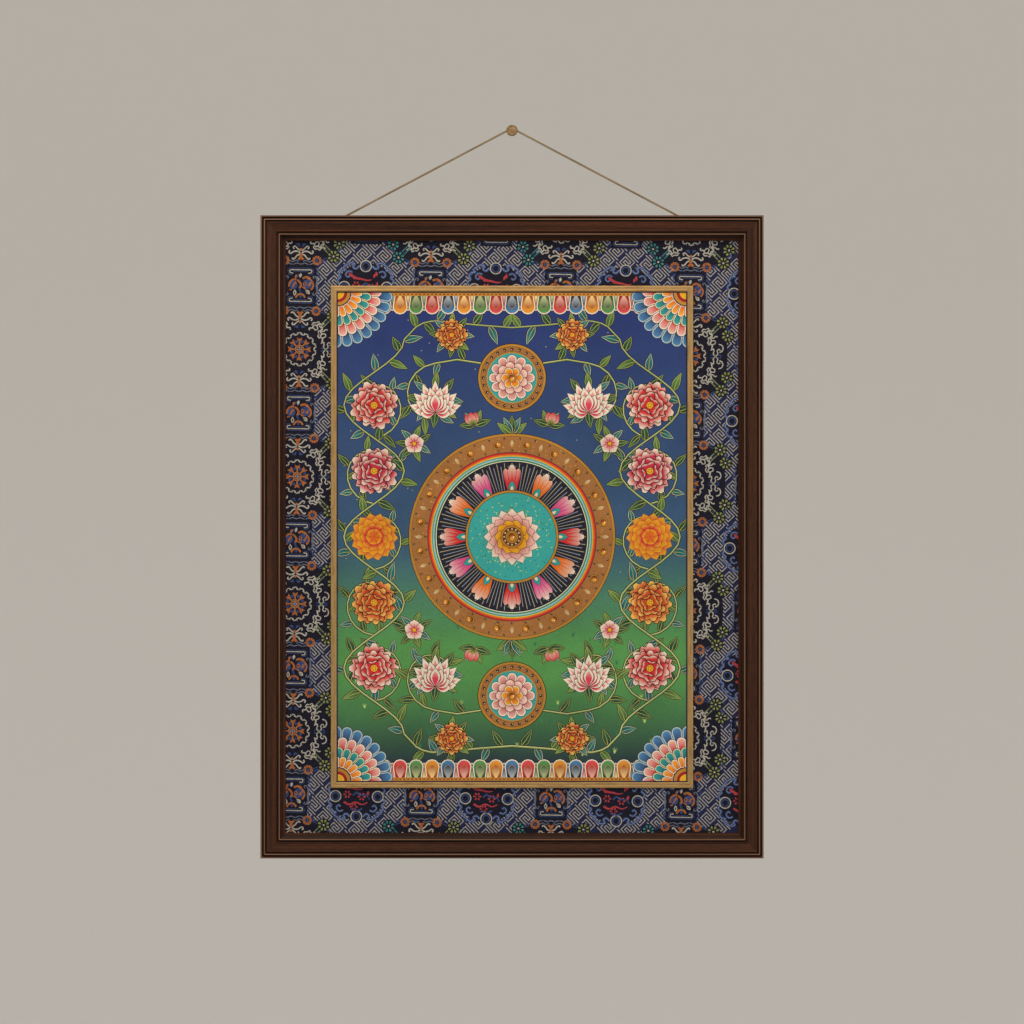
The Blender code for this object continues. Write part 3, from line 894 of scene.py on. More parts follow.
class Chart:
    """Flat shapes in millimetres, each painted over the ones before it, held a margin inside the
    edge of one rectangle, which keeps its four plain corners."""

    def __init__(self, half_size, ground, margin=1.0):
        self.high = np.array(half_size, float)
        self.inner = self.high - margin
        self.rim = rectangle(*(2 * self.high))
        self.shapes = [(self.rim, linear(ground), linear(ground), np.zeros(2), np.zeros(2), 0.0)]

    def paint(self, here, outline, root, tip=None, span=(0.0, 1.0), gilt=0.0):
        """Add an outline, moved by here; its colour goes from root to tip over span on its own x axis."""
        p = np.asarray(outline, float) @ here[:2, :2].T + here[:2, 2]
        far = (np.abs(p.mean(0)) > self.inner + FARTHEST).any()
        if far or (p.max(0) < -self.inner).any() or (p.min(0) > self.inner).any():
            return
        p = np.clip(p, -self.inner, self.inner)
        area = signed_area(p)
        if abs(area) < SMALLEST_AREA or self.hidden(p):
            return
        p = well_ended(p if area > 0 else p[::-1])
        if p is None:
            return
        start = here[:2, :2] @ (span[0], 0) + here[:2, 2]
        along = here[:2, :2] @ (1, 0) / (span[1] - span[0])
        self.shapes.append((p, linear(root), linear(tip or root), start, along, gilt))

    def hidden(self, p):
        """Nothing covers this chart."""
        return False

    def edged(self, here, outline, line, root, tip=None, span=(0.0, 1.0), width=0.4, gilt=0.0):
        """A shape with a line round it, drawn as a swollen copy below it."""
        self.paint(here, swollen(outline, width if signed_area(outline) > 0 else -width), line)
        self.paint(here, outline, root, tip, span, gilt)


def tried(motif, *settings):
    """Draw a motif once on a spare chart and print how many shapes it takes."""
    spare = Chart((300, 300), "#000000")
    motif(spare, HOME, *settings)
    print(f"{motif.__name__}: {len(spare.shapes) - 1} shapes")


tried(Chart.paint, disc(5), "#ffffff")

# %% [markdown]
# ### From shapes to areas
# The first triangulation holds every edge of every shape, also those that later shapes cover. Only
# the walls between different topmost shapes matter, and straight runs of them become one edge.

# %% Find the walls between areas
MERGE_FIRST, MERGE_LAST = 1e-5, 1e-7   # millimetres within which two points are one
STRAIGHT = 1e-6                        # sine of the bend below which a run counts as straight


def codes(pairs, count):
    """One whole number for each pair, so that pairs can be sorted and searched."""
    return pairs[:, 0] * count + pairs[:, 1]


def directed(triangles):
    """Each triangle's three edges in its own turning direction."""
    return triangles[:, [0, 1, 1, 2, 2, 0]].reshape(-1, 2)


def found_in(values, wanted):
    """For each wanted number, its place in the values and whether it is there at all."""
    order = np.argsort(values)
    spot = order[np.minimum(np.searchsorted(values[order], wanted), len(values) - 1)]
    return spot, values[spot] == wanted


def visible_walls(shapes):
    """Edges that part two topmost shapes, as points, (start, end) pairs and (left, right) shapes."""
    points = np.concatenate([shape[0] for shape in shapes])
    bounds = np.cumsum([0] + [len(shape[0]) for shape in shapes])
    outlines = [list(range(a, b)) for a, b in zip(bounds, bounds[1:])]
    made = delaunay_2d_cdt([Vector(p) for p in points.tolist()], [], outlines, 1, MERGE_FIRST, True)
    flat, triangles = np.array(made[0])[:, :2], np.array(made[2])
    top = np.array([max(ids) if ids else 0 for ids in made[5]])
    edges, owner = directed(triangles), np.repeat(top, 3)
    spot, there = found_in(codes(edges, len(flat)), codes(edges[:, ::-1], len(flat)))
    other = np.where(there, owner[spot], -1)
    wall = owner > other
    return flat, edges[wall], np.stack([owner[wall], other[wall]], -1)


def straightened(flat, edges, sides):
    """Without each point that has one wall in and one out, the same shapes beside both and no bend."""
    count = len(flat)
    into, out = np.full(count, -1), np.full(count, -1)
    out[edges[:, 0]], into[edges[:, 1]] = np.arange(len(edges)), np.arange(len(edges))
    uses = np.bincount(edges.reshape(-1), minlength=count)
    middle = np.flatnonzero((uses == 2) & (into >= 0) & (out >= 0))
    a, b = edges[into[middle], 0], edges[out[middle], 1]
    one, two = flat[middle] - flat[a], flat[b] - flat[middle]
    bend = np.abs(one[:, 0] * two[:, 1] - one[:, 1] * two[:, 0])
    straight = bend < STRAIGHT * np.linalg.norm(one, axis=1) * np.linalg.norm(two, axis=1)
    same = (sides[into[middle]] == sides[out[middle]]).all(1)
    skip, following = np.zeros(count, bool), np.arange(count)
    skip[middle[straight & same]] = True
    following[middle] = b
    kept = ~skip[edges[:, 0]]
    start, end = edges[kept, 0], edges[kept, 1]
    while skip[end].any():
        end = np.where(skip[end], following[end], end)
    return np.stack([start, end], -1), sides[kept]


spare = Chart((20, 20), "#000000")
spare.paint(HOME, disc(10, 12), "#ffffff")
print("one disc on a ground has", len(visible_walls(spare.shapes)[1]), "walls")

# %% [markdown]
# A second triangulation, of the walls alone, gives the final triangles. Each triangle beside a wall
# knows its shape, and passes it on to its neighbours until every one has it.

# %% Triangulate the areas
def cut(shapes):
    """The sheet's points, its triangles, and the topmost shape of each."""
    flat, edges, sides = visible_walls(shapes)
    walls, sides = straightened(flat, edges, sides)
    used, walls = np.unique(walls.reshape(-1), return_inverse=True)
    walls = walls.reshape(-1, 2)
    made = delaunay_2d_cdt([Vector(p) for p in flat[used].tolist()], walls.tolist(), [], 0, MERGE_LAST, True)
    points, triangles = np.array(made[0])[:, :2], np.array(made[2])
    origin = np.array([ids[0] if ids else -1 for ids in made[3]])
    count = len(used) + 1
    beside = np.concatenate([codes(walls, count), codes(walls[:, ::-1], count)])
    owner = np.concatenate([sides[:, 0], sides[:, 1]])
    edges = directed(triangles)
    spot, on_wall = found_in(beside, codes(origin[edges], count))
    top = np.where(on_wall, owner[spot], -1).reshape(-1, 3).max(1)
    mate, shared = found_in(codes(edges, len(points)), codes(edges[:, ::-1], len(points)))
    across = np.where(shared & ~on_wall, mate // 3, -1).reshape(-1, 3)
    while (top < 0).any():
        passed = np.where(across >= 0, top[across], -1).max(1)
        fresh = (top < 0) & (passed >= 0)
        if not fresh.any():
            break
        top[fresh] = passed[fresh]
    return points, triangles, np.maximum(top, 0)


print("the same disc takes", len(cut(spare.shapes)[1]), "triangles with its ground")

# %% [markdown]
# ### From areas to cloth
# The triangles are the cloth's front, and four strips and a rectangle close it to a thin body. Each
# triangle's corner has its own colour, so that an area's edge stays crisp. In the UV map for baking,
# the front has nearly all the room, and the plain edges and back share a narrow strip below it.

# %% Turn a chart into a sheet
EDGE_STRIP = 0.02                      # share of the baked picture's height for the edges and the back
STRIP_LEFT, STRIP_RIGHT = 0.01, 0.99
STRIP_FOOT, STRIP_HEIGHT, STRIP_STEP = 0.002, 0.004, 0.00315      # one plain colour, so they may overlap


def sheet_body(chart, flat, triangles, middle, front_y, back_y):
    """The front's points and triangles, four quads round the edge and one for the back."""
    first = [int(np.argmin(np.linalg.norm(flat - corner, axis=1))) for corner in chart.rim]
    count = len(flat)
    front = np.stack([flat[:, 0] * MM, np.full(count, front_y), flat[:, 1] * MM], -1)
    back = np.stack([chart.rim[:, 0] * MM, np.full(4, back_y), chart.rim[:, 1] * MM], -1)
    last = [count + k for k in range(4)]
    sides = [[first[k], last[k], last[(k + 1) % 4], first[(k + 1) % 4]] for k in range(4)]
    points = np.concatenate([front, back]) + (middle[0], 0, middle[2])
    return points, triangles.tolist() + sides + [last[::-1]]


def picture(name, chart, middle, front_y, back_y, finish, slot, nodes):
    """A chart as cloth: its body, the shapes' colours, where there is gold leaf, and its baking map."""
    flat, triangles, top = cut(chart.shapes)
    root, tip, start, along, gilt = (np.array([shape[i] for shape in chart.shapes])[top] for i in range(1, 6))
    corner = flat[triangles]
    t = np.clip(((corner - start[:, None]) * along[:, None]).sum(-1, keepdims=True), 0, 1)
    colour = (root[:, None] + (tip - root)[:, None] * t).reshape(-1, 3)
    points, faces = sheet_body(chart, flat, triangles, middle, front_y, back_y)
    made = piece(name, points, faces, finish, slot, replaces=nodes)

    mesh = made.data
    plain = len(mesh.loops) - 3 * len(triangles)
    rgb = np.concatenate([colour, np.repeat(chart.shapes[0][1][None], plain, axis=0)])
    paint = mesh.color_attributes.new("Paint", "FLOAT_COLOR", "CORNER")
    paint.data.foreach_set("color", np.column_stack([rgb, np.ones(len(rgb))]).astype(np.float32).reshape(-1))
    metal = mesh.attributes.new("Gilt", "FLOAT", "CORNER")
    leafed = np.concatenate([np.repeat(gilt, 3), np.zeros(plain)])
    metal.data.foreach_set("value", leafed.astype(np.float32))

    spread = (corner.reshape(-1, 2) + chart.high) / (2 * chart.high)
    spread[:, 1] = EDGE_STRIP + (1 - EDGE_STRIP) * spread[:, 1]
    low, high = STRIP_FOOT, STRIP_FOOT + STRIP_HEIGHT
    strips = np.array([(STRIP_LEFT, low), (STRIP_RIGHT, low), (STRIP_RIGHT, high), (STRIP_LEFT, high)] * 5)
    strips[:, 1] += STRIP_STEP * np.repeat(np.arange(5), 4)
    bake = mesh.uv_layers.new(name="OFBake")
    bake.data.foreach_set("uv", np.concatenate([spread, strips]).astype(np.float32).reshape(-1))
    print(f"{name}: {len(np.unique(top))} shapes show of {len(chart.shapes)}, {len(triangles)} triangles")
    return made


# %% [markdown]
# ## The brocade
# Behind the painting lies a navy silk brocade. Its pattern repeats every 142 by 139 mm: a wheel of
# eight spokes in a dark field, small frames with a fruiting branch, and a large medallion, all on a
# key fret that slants across the cloth. Each silk of the weave has one colour.

# %% The cloth and its silks
brocade_low, brocade_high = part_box("brocade_sheet")
brocade_size = (brocade_high.x - brocade_low.x, brocade_high.z - brocade_low.z)
NAVY_SILK, FRET_BLUE, BLUE_SILK, PALE_BLUE, GREY_BLUE = "#100e1f", "#1b2044", "#30426f", "#737f99", "#5b6173"
CREAM_SILK, FRET_CREAM = "#a29e94", "#938f86"
ORANGE_SILK, LIME_SILK, TEAL_SILK, RED_SILK = "#975b34", "#7c8449", "#377a77", "#a2373d"


def stitch(chart, here, rows):
    """Floats of silk: a row gives colour, width where the float starts and where it ends, and points."""
    for colour, width, end, points in rows:
        chart.paint(here, band(curve(points, 3), width, end), colour)


print(f"brocade {brocade_size[0]:.4f} by {brocade_size[1]:.4f} m")

# %% [markdown]
# The key fret is one meander on a square net, turned by 45 degrees on the cloth. It is the ground of
# the pattern, so it comes first and everything else covers it.

# %% The key fret
MEANDER_PITCH, FRET_LINE = 2.87, 1.15
MEANDER = ((1, 0), (1, 5), (4, 5), (4, 2), (3, 2), (3, 3), (3, 4), (2, 4), (2, 1), (5, 1), (5, 6))
NET = (5, 6)                           # pitches from one meander to the next, across and up


def fret(chart, here, low, high):
    """The meander repeated on its net, over all of a rectangle."""
    across, up = NET[0] * MEANDER_PITCH, NET[1] * MEANDER_PITCH
    line = ribbon(np.array(MEANDER) * MEANDER_PITCH, FRET_LINE)
    for i in range(int(low[0] // across), int(high[0] // across) + 1):
        for j in range(int(low[1] // up), int(high[1] // up) + 1):
            chart.paint(here @ place(i * across, j * up), line, FRET_CREAM)


tried(fret, (-100, -100), (100, 100))

# %% [markdown]
# Eight flared orange spokes with blue lozenges between them, in a chain of little hooked links.

# %% The wheel
WHEEL_FIELD = 23.5
SPOKE = ((2.4, -0.8), (8.2, -1.0), (10.0, -2.3), (12.9, -2.9), (11.5, 0),
         (12.9, 2.9), (10.0, 2.3), (8.2, 1.0), (2.4, 0.8))
LOZENGE = ((6.4, 0), (9.6, -2.0), (10.6, 0), (9.6, 2.0))
LINKS = (((18.5, -1.6), (16.2, -1.2), (15.9, 1.0), (17.6, 1.5)),
         ((15.9, -1.6), (18.2, -1.3), (18.3, 0.9), (16.9, 1.5)))
LINK_COUNT, LINK_WIDTH = 28, 0.95


def wheel(chart, here):
    """Eight flared spokes in a ring of little hooked links."""
    chart.paint(here, disc(WHEEL_FIELD, 32), NAVY_SILK)
    for on, between in zip(all_round(here, 8), all_round(here, 8, start=22.5)):
        chart.paint(between, LOZENGE, BLUE_SILK)
        chart.paint(on, SPOKE, ORANGE_SILK)
        chart.paint(between @ place(4.4), disc(0.6, 5), CREAM_SILK)
    chart.paint(here, disc(2.9, 10), ORANGE_SILK)
    chart.paint(here, disc(2.1, 10), NAVY_SILK)
    for spot in all_round(here, 4, 1.6):
        chart.paint(spot, disc(0.6, 5), CREAM_SILK)
    chart.paint(here, disc(1.0, 8), "#3e77b0")
    for k, spot in enumerate(all_round(here, LINK_COUNT)):
        chart.paint(spot, ribbon(LINKS[k % 2], LINK_WIDTH), CREAM_SILK)


tried(wheel)

# %% [markdown]
# Above and below each wheel stands a lyre of cream scrolls over an orange bud, with grey-blue waves
# beyond it. Cloud scrolls branch off beside it.

# %% Scrolls round a wheel
LYRE = (
    (CREAM_SILK, 1.35, 1.35, ((0.6, 31.4), (3.4, 29.6), (6.6, 26.6), (8.6, 27.6), (7.6, 29.4))),
    (CREAM_SILK, 1.6, 1.6, ((1.0, 33.6), (4.4, 32.0), (8.4, 32.6), (11.4, 34.6), (13.2, 33.2), (12.2, 31.2))),
    (CREAM_SILK, 1.5, 1.5, ((1.0, 35.0), (4.2, 36.6), (6.4, 39.4), (8.8, 40.8), (9.6, 39.2))),
)
LYRE_LEAF = ((2.4, 22.6), (6.4, 24.6), (3.2, 25.8), (1.2, 27.6), (1.6, 24.8))
WAVES = (
    (GREY_BLUE, 1.1, 1.1, ((2.6, 43.2), (5.6, 41.9), (9.0, 43.6), (12.6, 42.2), (15.4, 43.0))),
    (GREY_BLUE, 1.2, 1.2, ((0.0, 46.4), (4.6, 45.0), (9.0, 46.8), (13.6, 45.2), (19.6, 46.8))),
    (BLUE_SILK, 1.0, 1.0, ((1.4, 49.0), (6.0, 48.2), (10.4, 49.4), (14.6, 48.2))),
)
ORANGE_BUD = ((-0.9, 33.4), (0.9, 33.4), (1.9, 35.6), (1.5, 38.0), (3.9, 40.6), (1.8, 42.0),
              (0, 40.6), (-1.8, 42.0), (-3.9, 40.6), (-1.5, 38.0), (-1.9, 35.6))
CLOUD = (
    (CREAM_SILK, 1.5, 1.5, ((-8.0, -4.6), (-7.8, -1.6), (-4.6, -1.4), (-3.0, 1.8),
                            (0.4, 1.2), (2.8, 3.6), (6.0, 2.2), (8.6, 4.2))),
    (CREAM_SILK, 1.3, 1.3, ((-5.2, 1.6), (-3.4, 4.4), (-0.6, 4.0))),
    (CREAM_SILK, 1.2, 1.2, ((-3.6, -1.2), (-1.4, -3.6), (1.2, -2.4), (0.4, 0.6))),
    (CREAM_SILK, 1.3, 1.3, ((3.0, 3.4), (3.6, 0.0), (6.0, -1.6), (6.2, -4.0))),
    (CREAM_SILK, 1.1, 1.1, ((-0.2, 4.2), (1.8, 5.6), (3.2, 4.4))),
)


def flourish(chart, here):
    """The lyre of scrolls above a wheel; it is drawn upwards from the wheel's middle."""
    for side in twice(here):
        stitch(chart, side, LYRE)
        chart.paint(side, LYRE_LEAF, BLUE_SILK)
        stitch(chart, side, WAVES)
    chart.paint(here @ place(0, 30.0), disc(1.5, 8), ORANGE_SILK)
    chart.paint(here, ORANGE_BUD, ORANGE_SILK)


def cloud(chart, here):
    """A branching scroll, as on a cloud's tail."""
    stitch(chart, here, CLOUD)


tried(flourish)

# %% [markdown]
# Small figures fill the corners between the large ones: an orange marigold, a daisy on a dark disc, a
# ladder of fine bars, and a cross of scrolls.

# %% Small figures
MARIGOLD_PETAL = ((2.3, -0.62), (4.9, -1.3), (5.3, 0), (4.9, 1.3), (2.3, 0.62))
LADDER_LENGTH, LADDER_HALF_WIDTH = 10.5, 1.9
CROSS = (
    (CREAM_SILK, 1.2, 1.2, ((1.2, 1.0), (2.6, 3.4), (1.6, 6.0), (3.6, 8.0), (5.2, 6.6))),
    (BLUE_SILK, 1.1, 1.1, ((1.6, 0.8), (4.6, 1.6), (6.4, 0.4))),
)
CROSS_HOOK = ((CREAM_SILK, 1.3, 1.3, ((3.4, 13.4), (6.8, 12.2), (8.2, 8.8), (6.8, 5.6), (4.2, 4.6))),)


def marigold(chart, here):
    """Ten blunt petals."""
    for spot in all_round(here, 10):
        chart.paint(spot, MARIGOLD_PETAL, ORANGE_SILK)
    chart.paint(here, disc(1.7, 8), BLUE_SILK)


def daisy(chart, here, colour):
    """Eight petals round a cream heart."""
    chart.paint(here, disc(7.4, 16), NAVY_SILK)
    for spot in all_round(here, 8, 2.2, shift=0.5):
        chart.paint(spot, petal(4.4, 2.7, 1.8, 5), colour)
    chart.paint(here, disc(1.2, 7), CREAM_SILK)


def ladder(chart, here, colour):
    """Two fine rails with short rungs, between a daisy and a cross of scrolls."""
    for off in (-LADDER_HALF_WIDTH, LADDER_HALF_WIDTH):
        chart.paint(here, ribbon([(0, off), (LADDER_LENGTH, off)], 0.9), colour)
    for k in range(5):
        chart.paint(here, ribbon([(1.5 + 2 * k, -1.2), (1.5 + 2 * k, 1.2)], 0.6), BLUE_SILK)


def cross_scroll(chart, here, colour):
    """Four leaves about a green centre with small curls, and a cream flourish above and below."""
    for part in four(here):
        stitch(chart, part, CROSS)
    for side in upright_and_over(here):
        stitch(chart, side, CROSS_HOOK)
        cloud(chart, side @ place(-3.6, 16.6, 74))
    chart.paint(here, disc(1.5, 8), colour)


tried(cross_scroll, LIME_SILK)

# %% [markdown]
# The small frame has a blue bar with a cream core above and below, scrolled sides, and a branch with
# leaves, fruit and blossom in it.

# %% The small frame and its branch
BAR_HALF, BAR_WIDTHS = 11.6, ((4.4, BLUE_SILK), (3.0, NAVY_SILK), (1.1, CREAM_SILK))
FRAME_SIDE = (
    (GREY_BLUE, 2.6, 1.2, ((17.8, -0.2), (18.1, 4.4), (17.6, 8.6))),
    (GREY_BLUE, 1.1, 1.1, ((17.2, 8.0), (15.4, 10.4), (13.4, 9.4), (14.6, 7.6))),
    (BLUE_SILK, 1.2, 1.2, ((20.6, 5.6), (21.2, 10.0), (18.2, 13.4), (19.2, 17.4), (16.4, 19.6))),
)
BRANCH = (
    (ORANGE_SILK, 1.7, 2.2, ((-12.6, -1.4), (-12.0, 3.2), (-8.6, 6.4), (-4.6, 6.8))),
    (ORANGE_SILK, 1.4, 2.4, ((-9.0, -2.2), (-7.2, 1.2), (-4.8, 4.0))),
    (ORANGE_SILK, 2.0, 2.6, ((-3.8, 6.4), (-0.9, 3.8), (0.4, 0.6), (-1.0, -2.6))),
    (ORANGE_SILK, 1.6, 0.8, ((-12.2, -4.2), (-10.4, -4.6), (-9.2, -3.6))),
    (ORANGE_SILK, 2.2, 3.0, ((2.2, 8.0), (6.4, 9.4), (10.6, 7.4))),
    (ORANGE_SILK, 1.5, 2.2, ((10.6, 7.4), (13.6, 3.2), (13.8, -1.0), (11.4, -4.6))),
    (ORANGE_SILK, 2.6, 1.6, ((8.8, -0.4), (10.2, 2.0), (11.8, 3.8))),
    (ORANGE_SILK, 1.4, 1.2, ((3.6, 3.6), (5.8, 2.8), (5.4, 0.4), (3.6, 0.6), (3.6, 2.6))),
    (ORANGE_SILK, 1.0, 1.8, ((1.4, -1.2), (3.6, -2.2), (5.6, -3.4))),
    (ORANGE_SILK, 2.2, 2.2, ((-5.2, -13.4), (-3.2, -10.4), (0.2, -9.2), (3.4, -10.4), (5.0, -13.2))),
)
TWIG = ((BLUE_SILK, 2.2, 1.2, ((-1.4, -2.4), (-0.6, -5.4), (1.0, -8.8))),)
BRANCH_LEAVES = (                      # where, then length, width, bluntness, points and silk
    ((-6.2, 7.6, 66), 5.0, 2.8, 1.2, 5, ORANGE_SILK), ((-4.2, 8.8, 58), 4.6, 2.2, 1.2, 5, BLUE_SILK),
    ((-0.9, 8.4, 76), 5.6, 3.0, 1.2, 6, CREAM_SILK), ((-6.2, -4.2, 270), 7.2, 3.8, 1.0, 5, CREAM_SILK),
    ((-6.2, -6.0, 270), 3.6, 1.5, 1.0, 5, NAVY_SILK), ((5.4, -4.2, -46), 6.8, 4.2, 1.2, 6, CREAM_SILK),
)


def bar_end(chart, here, y):
    """A blue bar with a cream core and round ends that turn in."""
    half = BAR_HALF
    bracket = [(3.4 - half, y - 3.6), (-half, y - 3.2), (-half - 0.6, y - 0.8), (0.6 - half, y),
               (half - 0.6, y), (half + 0.6, y - 0.8), (half, y - 3.2), (half - 3.4, y - 3.6)]
    for width, colour in BAR_WIDTHS:
        chart.paint(here, ribbon(bracket, width), colour)


def cartouche(chart, here, reach):
    """A small frame of two bars and two scrolled sides, with a fruiting branch in it."""
    chart.paint(here, ribbon([(-17.5, 0), (17.5, 0)], 46), NAVY_SILK)
    for half in upright_and_over(here):
        bar_end(chart, half, reach)
        for side in twice(half):
            stitch(chart, side, FRAME_SIDE)
    chart.paint(here @ place(-8.0, 0.8), disc(4.8, 12), BLUE_SILK)
    chart.paint(here @ place(7.8, 1.8), disc(5.3, 12), BLUE_SILK)
    stitch(chart, here, BRANCH)
    chart.paint(here @ place(4.6, 2.0), disc(1.0, 6), NAVY_SILK)
    stitch(chart, here, TWIG)
    chart.paint(here @ place(0.3, -12.0), disc(1.5, 8), BLUE_SILK)
    for spot, length, width, blunt, points, colour in BRANCH_LEAVES:
        chart.paint(here @ place(*spot), petal(length, width, blunt, points), colour)
    for k in range(2):
        vein = here @ place(7.2 + 1.3 * k, -5.0 - 1.3 * k, -120)
        chart.paint(vein, ribbon([(0, 0), (2.4, 0)], 0.6), NAVY_SILK)


tried(cartouche, 17.3)

# %% [markdown]
# The largest figure: cloud scrolls in two blues, a ring on each side, red leaves and blossom inside.

# %% The large medallion
SCROLLS = (                            # share of the line's width, and points
    (1.0, ((7.2, 22.8), (10.6, 19.6), (14.0, 21.4), (12.2, 24.8), (16.6, 26.0), (21.2, 23.4))),
    (1.0, ((21.2, 23.4), (24.6, 20.6), (22.4, 17.8), (26.4, 17.6), (29.6, 13.6))),
    (1.0, ((29.6, 13.6), (27.4, 10.0), (30.6, 7.0), (29.0, 3.0))),
    (0.8, ((14.6, 15.6), (18.6, 17.0), (22.0, 13.4), (19.4, 10.2), (17.4, 12.0))),
)
RING_BANDS = ((6.6, CREAM_SILK), (5.4, NAVY_SILK), (4.4, BLUE_SILK), (3.0, NAVY_SILK))
RING_SPOTS = ((0, 22.6), (0, -22.6), (23.2, -0.6), (-23.2, -0.6))
RING_KNOT = ((-1.6, -3.4), (1.6, -3.4), (0.5, 0.4), (1.3, 2.4), (-1.3, 2.4), (-0.5, 0.4))
RED_STEM = ((RED_SILK, 3.2, 1.0, ((-17.0, 13.0), (-11.0, 9.6), (-4.6, 8.4), (2.0, 7.0), (6.6, 7.8))),)
RED_LEAVES = ((-14.4, 12.0, 150), (-8.4, 10.4, 200), (8.6, 9.2, 70), (12.4, 11.4, 100), (13.0, 5.8, 260))
RED_FLOWERS = ((-10.2, 1.6), (5.6, -0.8), (-3.0, -12.0))
LOWER_STEMS = (
    (BLUE_SILK, 2.0, 1.2, ((-4.0, 0.6), (0.4, 4.0), (3.6, 1.0), (10.0, 1.0), (14.4, -3.6))),
    (RED_SILK, 2.4, 1.0, ((-14.0, -6.6), (-8.0, -9.6), (-1.0, -6.8), (6.0, -9.4), (12.0, -7.0))),
    (BLUE_SILK, 1.8, 1.8, ((-6.4, -14.4), (0.4, -16.2), (6.4, -13.8))),
)


def medallion(chart, here):
    """A large frame of cloud scrolls with a ring on each side, and red leaves and blossom inside."""
    chart.paint(here, disc(1.0, 30) * (30.5, 26.5), NAVY_SILK)
    for part in four(here):
        for width, colour in ((3.0, BLUE_SILK), (0.8, PALE_BLUE)):
            stitch(chart, part, [(colour, share * width, share * width, points) for share, points in SCROLLS])
    for spot in RING_SPOTS:
        for radius, colour in RING_BANDS:
            chart.paint(here @ place(*spot), disc(radius, 20), colour)
        chart.paint(here @ place(*spot), RING_KNOT, NAVY_SILK)
    stitch(chart, here, RED_STEM)
    for spot in RED_LEAVES:
        chart.paint(here @ place(*spot), petal(5.6, 2.8, 1.2, 6), RED_SILK)
    for spot in RED_FLOWERS:
        for around_it in all_round(here @ place(*spot), 6, 1.2):
            chart.paint(around_it, petal(3.4, 2.2, 1.4, 5), RED_SILK)
    stitch(chart, here, LOWER_STEMS)


tried(medallion)

# %% [markdown]
# The wheel stands in a dark field with fourteen corners, between clouds, crosses and ladders. The
# flowers on the field's corners lie over the fret's edge, so they are painted after all the frames.

# %% The dark field round a wheel
REPEAT = (142.3, 139.4)
FIELD_HALF = (35.6, 37.1)
GREENS = ((LIME_SILK, HOME), (TEAL_SILK, MIRROR))      # lime on the right of a wheel, teal on the left


def wheel_field(chart, here):
    """The dark field round a wheel, and what stands at its corners."""
    x, y = FIELD_HALF
    right = [(13, -47), (x, -y), (x + 4.5, -y + 6), (x + 6.5, 0), (x + 4.5, y - 6), (x, y), (13, 47)]
    left = [(-13, 47), (-x, y), (-x - 4.5, y - 6), (-x - 6.5, 0), (-x - 4.5, -y + 6)]
    chart.paint(here, [(-x, -y), (-13, -47)] + right + left, NAVY_SILK)
    for half in upright_and_over(here):
        flourish(chart, half)
        for side in twice(half):
            cloud(chart, side @ place(18.4, 25.0))
            for off in (-1.3, 1.3):
                chart.paint(side @ place(20.5, 43.6, -24), ribbon([(0, off), (11.5, off)], 0.9), BLUE_SILK)
    for colour, flip in GREENS:
        cross_scroll(chart, here @ flip @ place(28.8, 0), colour)
        for half in upright_and_over(here @ flip):
            ladder(chart, half @ place(x - 4.5, y - 4.5, 225), colour)
    wheel(chart, here)


def corner_flowers(chart, here):
    """Marigolds and daisies, which lie over the fret's edge."""
    x, y = FIELD_HALF
    for colour, flip in GREENS:
        for half in upright_and_over(here @ flip):
            marigold(chart, half @ place(17.5, 42.0))
            daisy(chart, half @ place(x, y), colour)
            daisy(chart, half @ place(REPEAT[0] / 2 - 29.5, 23.0), colour)
            chart.paint(half, ribbon([(x + 4.6, y - 5.0), (x + 9.2, 26.4)], 1.4), BLUE_SILK)


tried(wheel_field)

# %% [markdown]
# The repeat is laid over the whole cloth from where the photograph shows its first wheel, a degree
# off square. What would lie under the painting or past the frame's sight edge is left out.

# %% Weave the whole cloth
CLOTH_TURN = -1.0
FIRST_WHEEL = (-232.8, 205.4)
FRET_TURN = 45.0
UNDER_PAINTING = (196.0, 272.5)        # half sizes in millimetres
SIGHT_SIZE = (249.0, 325.5)
FRAME_REACH = (17.3, 18.6)             # half heights of the frames over a wheel and beside it
COLUMNS, ROWS = range(-1, 5), range(-5, 2)


class Brocade(Chart):
    """A chart whose middle lies under the painting, so shapes that fall there are left out."""

    def __init__(self, half_size, ground, under, sight):
        super().__init__(half_size, ground)
        self.under, self.sight = np.array(under), np.array(sight)

    def hidden(self, p):
        """All of the shape is under the painting, or all of it is past one side of the sight edge."""
        inside = (np.abs(p) < self.under).all()
        beyond = ((p > self.sight).all(0) | (p < -self.sight).all(0)).any()
        return inside or beyond


def whole_repeat(chart):
    """The pattern over the cloth: fret, then dark fields, then frames, medallions and flowers."""
    cloth = place(*FIRST_WHEEL, CLOTH_TURN)
    chart.paint(HOME, rectangle(*(2 * chart.inner)), FRET_BLUE)
    fret(chart, cloth @ place(0, 0, FRET_TURN), (-500, -700), (500, 700))
    spots = [(i * REPEAT[0], j * REPEAT[1]) for i in COLUMNS for j in ROWS]
    for x, y in spots:
        wheel_field(chart, cloth @ place(x, y))
    for x, y in spots:
        cartouche(chart, cloth @ place(x, y + REPEAT[1] / 2), FRAME_REACH[0])
        cartouche(chart, cloth @ place(x + REPEAT[0] / 2, y), FRAME_REACH[1])
        medallion(chart, cloth @ place(x + REPEAT[0] / 2, y + REPEAT[1] / 2))
        corner_flowers(chart, cloth @ place(x, y))


brocade_chart = Brocade(np.array(brocade_size) / MM / 2, NAVY_SILK, UNDER_PAINTING, SIGHT_SIZE)
whole_repeat(brocade_chart)
print("brocade shapes:", len(brocade_chart.shapes))

# %% [markdown]
# A satin ground with the pattern floated over it: soft, with a gleam on thousands of tiny ribs. Real
# threads are 0.3 mm apart; they are drawn at 1.1 mm, the finest that shows.

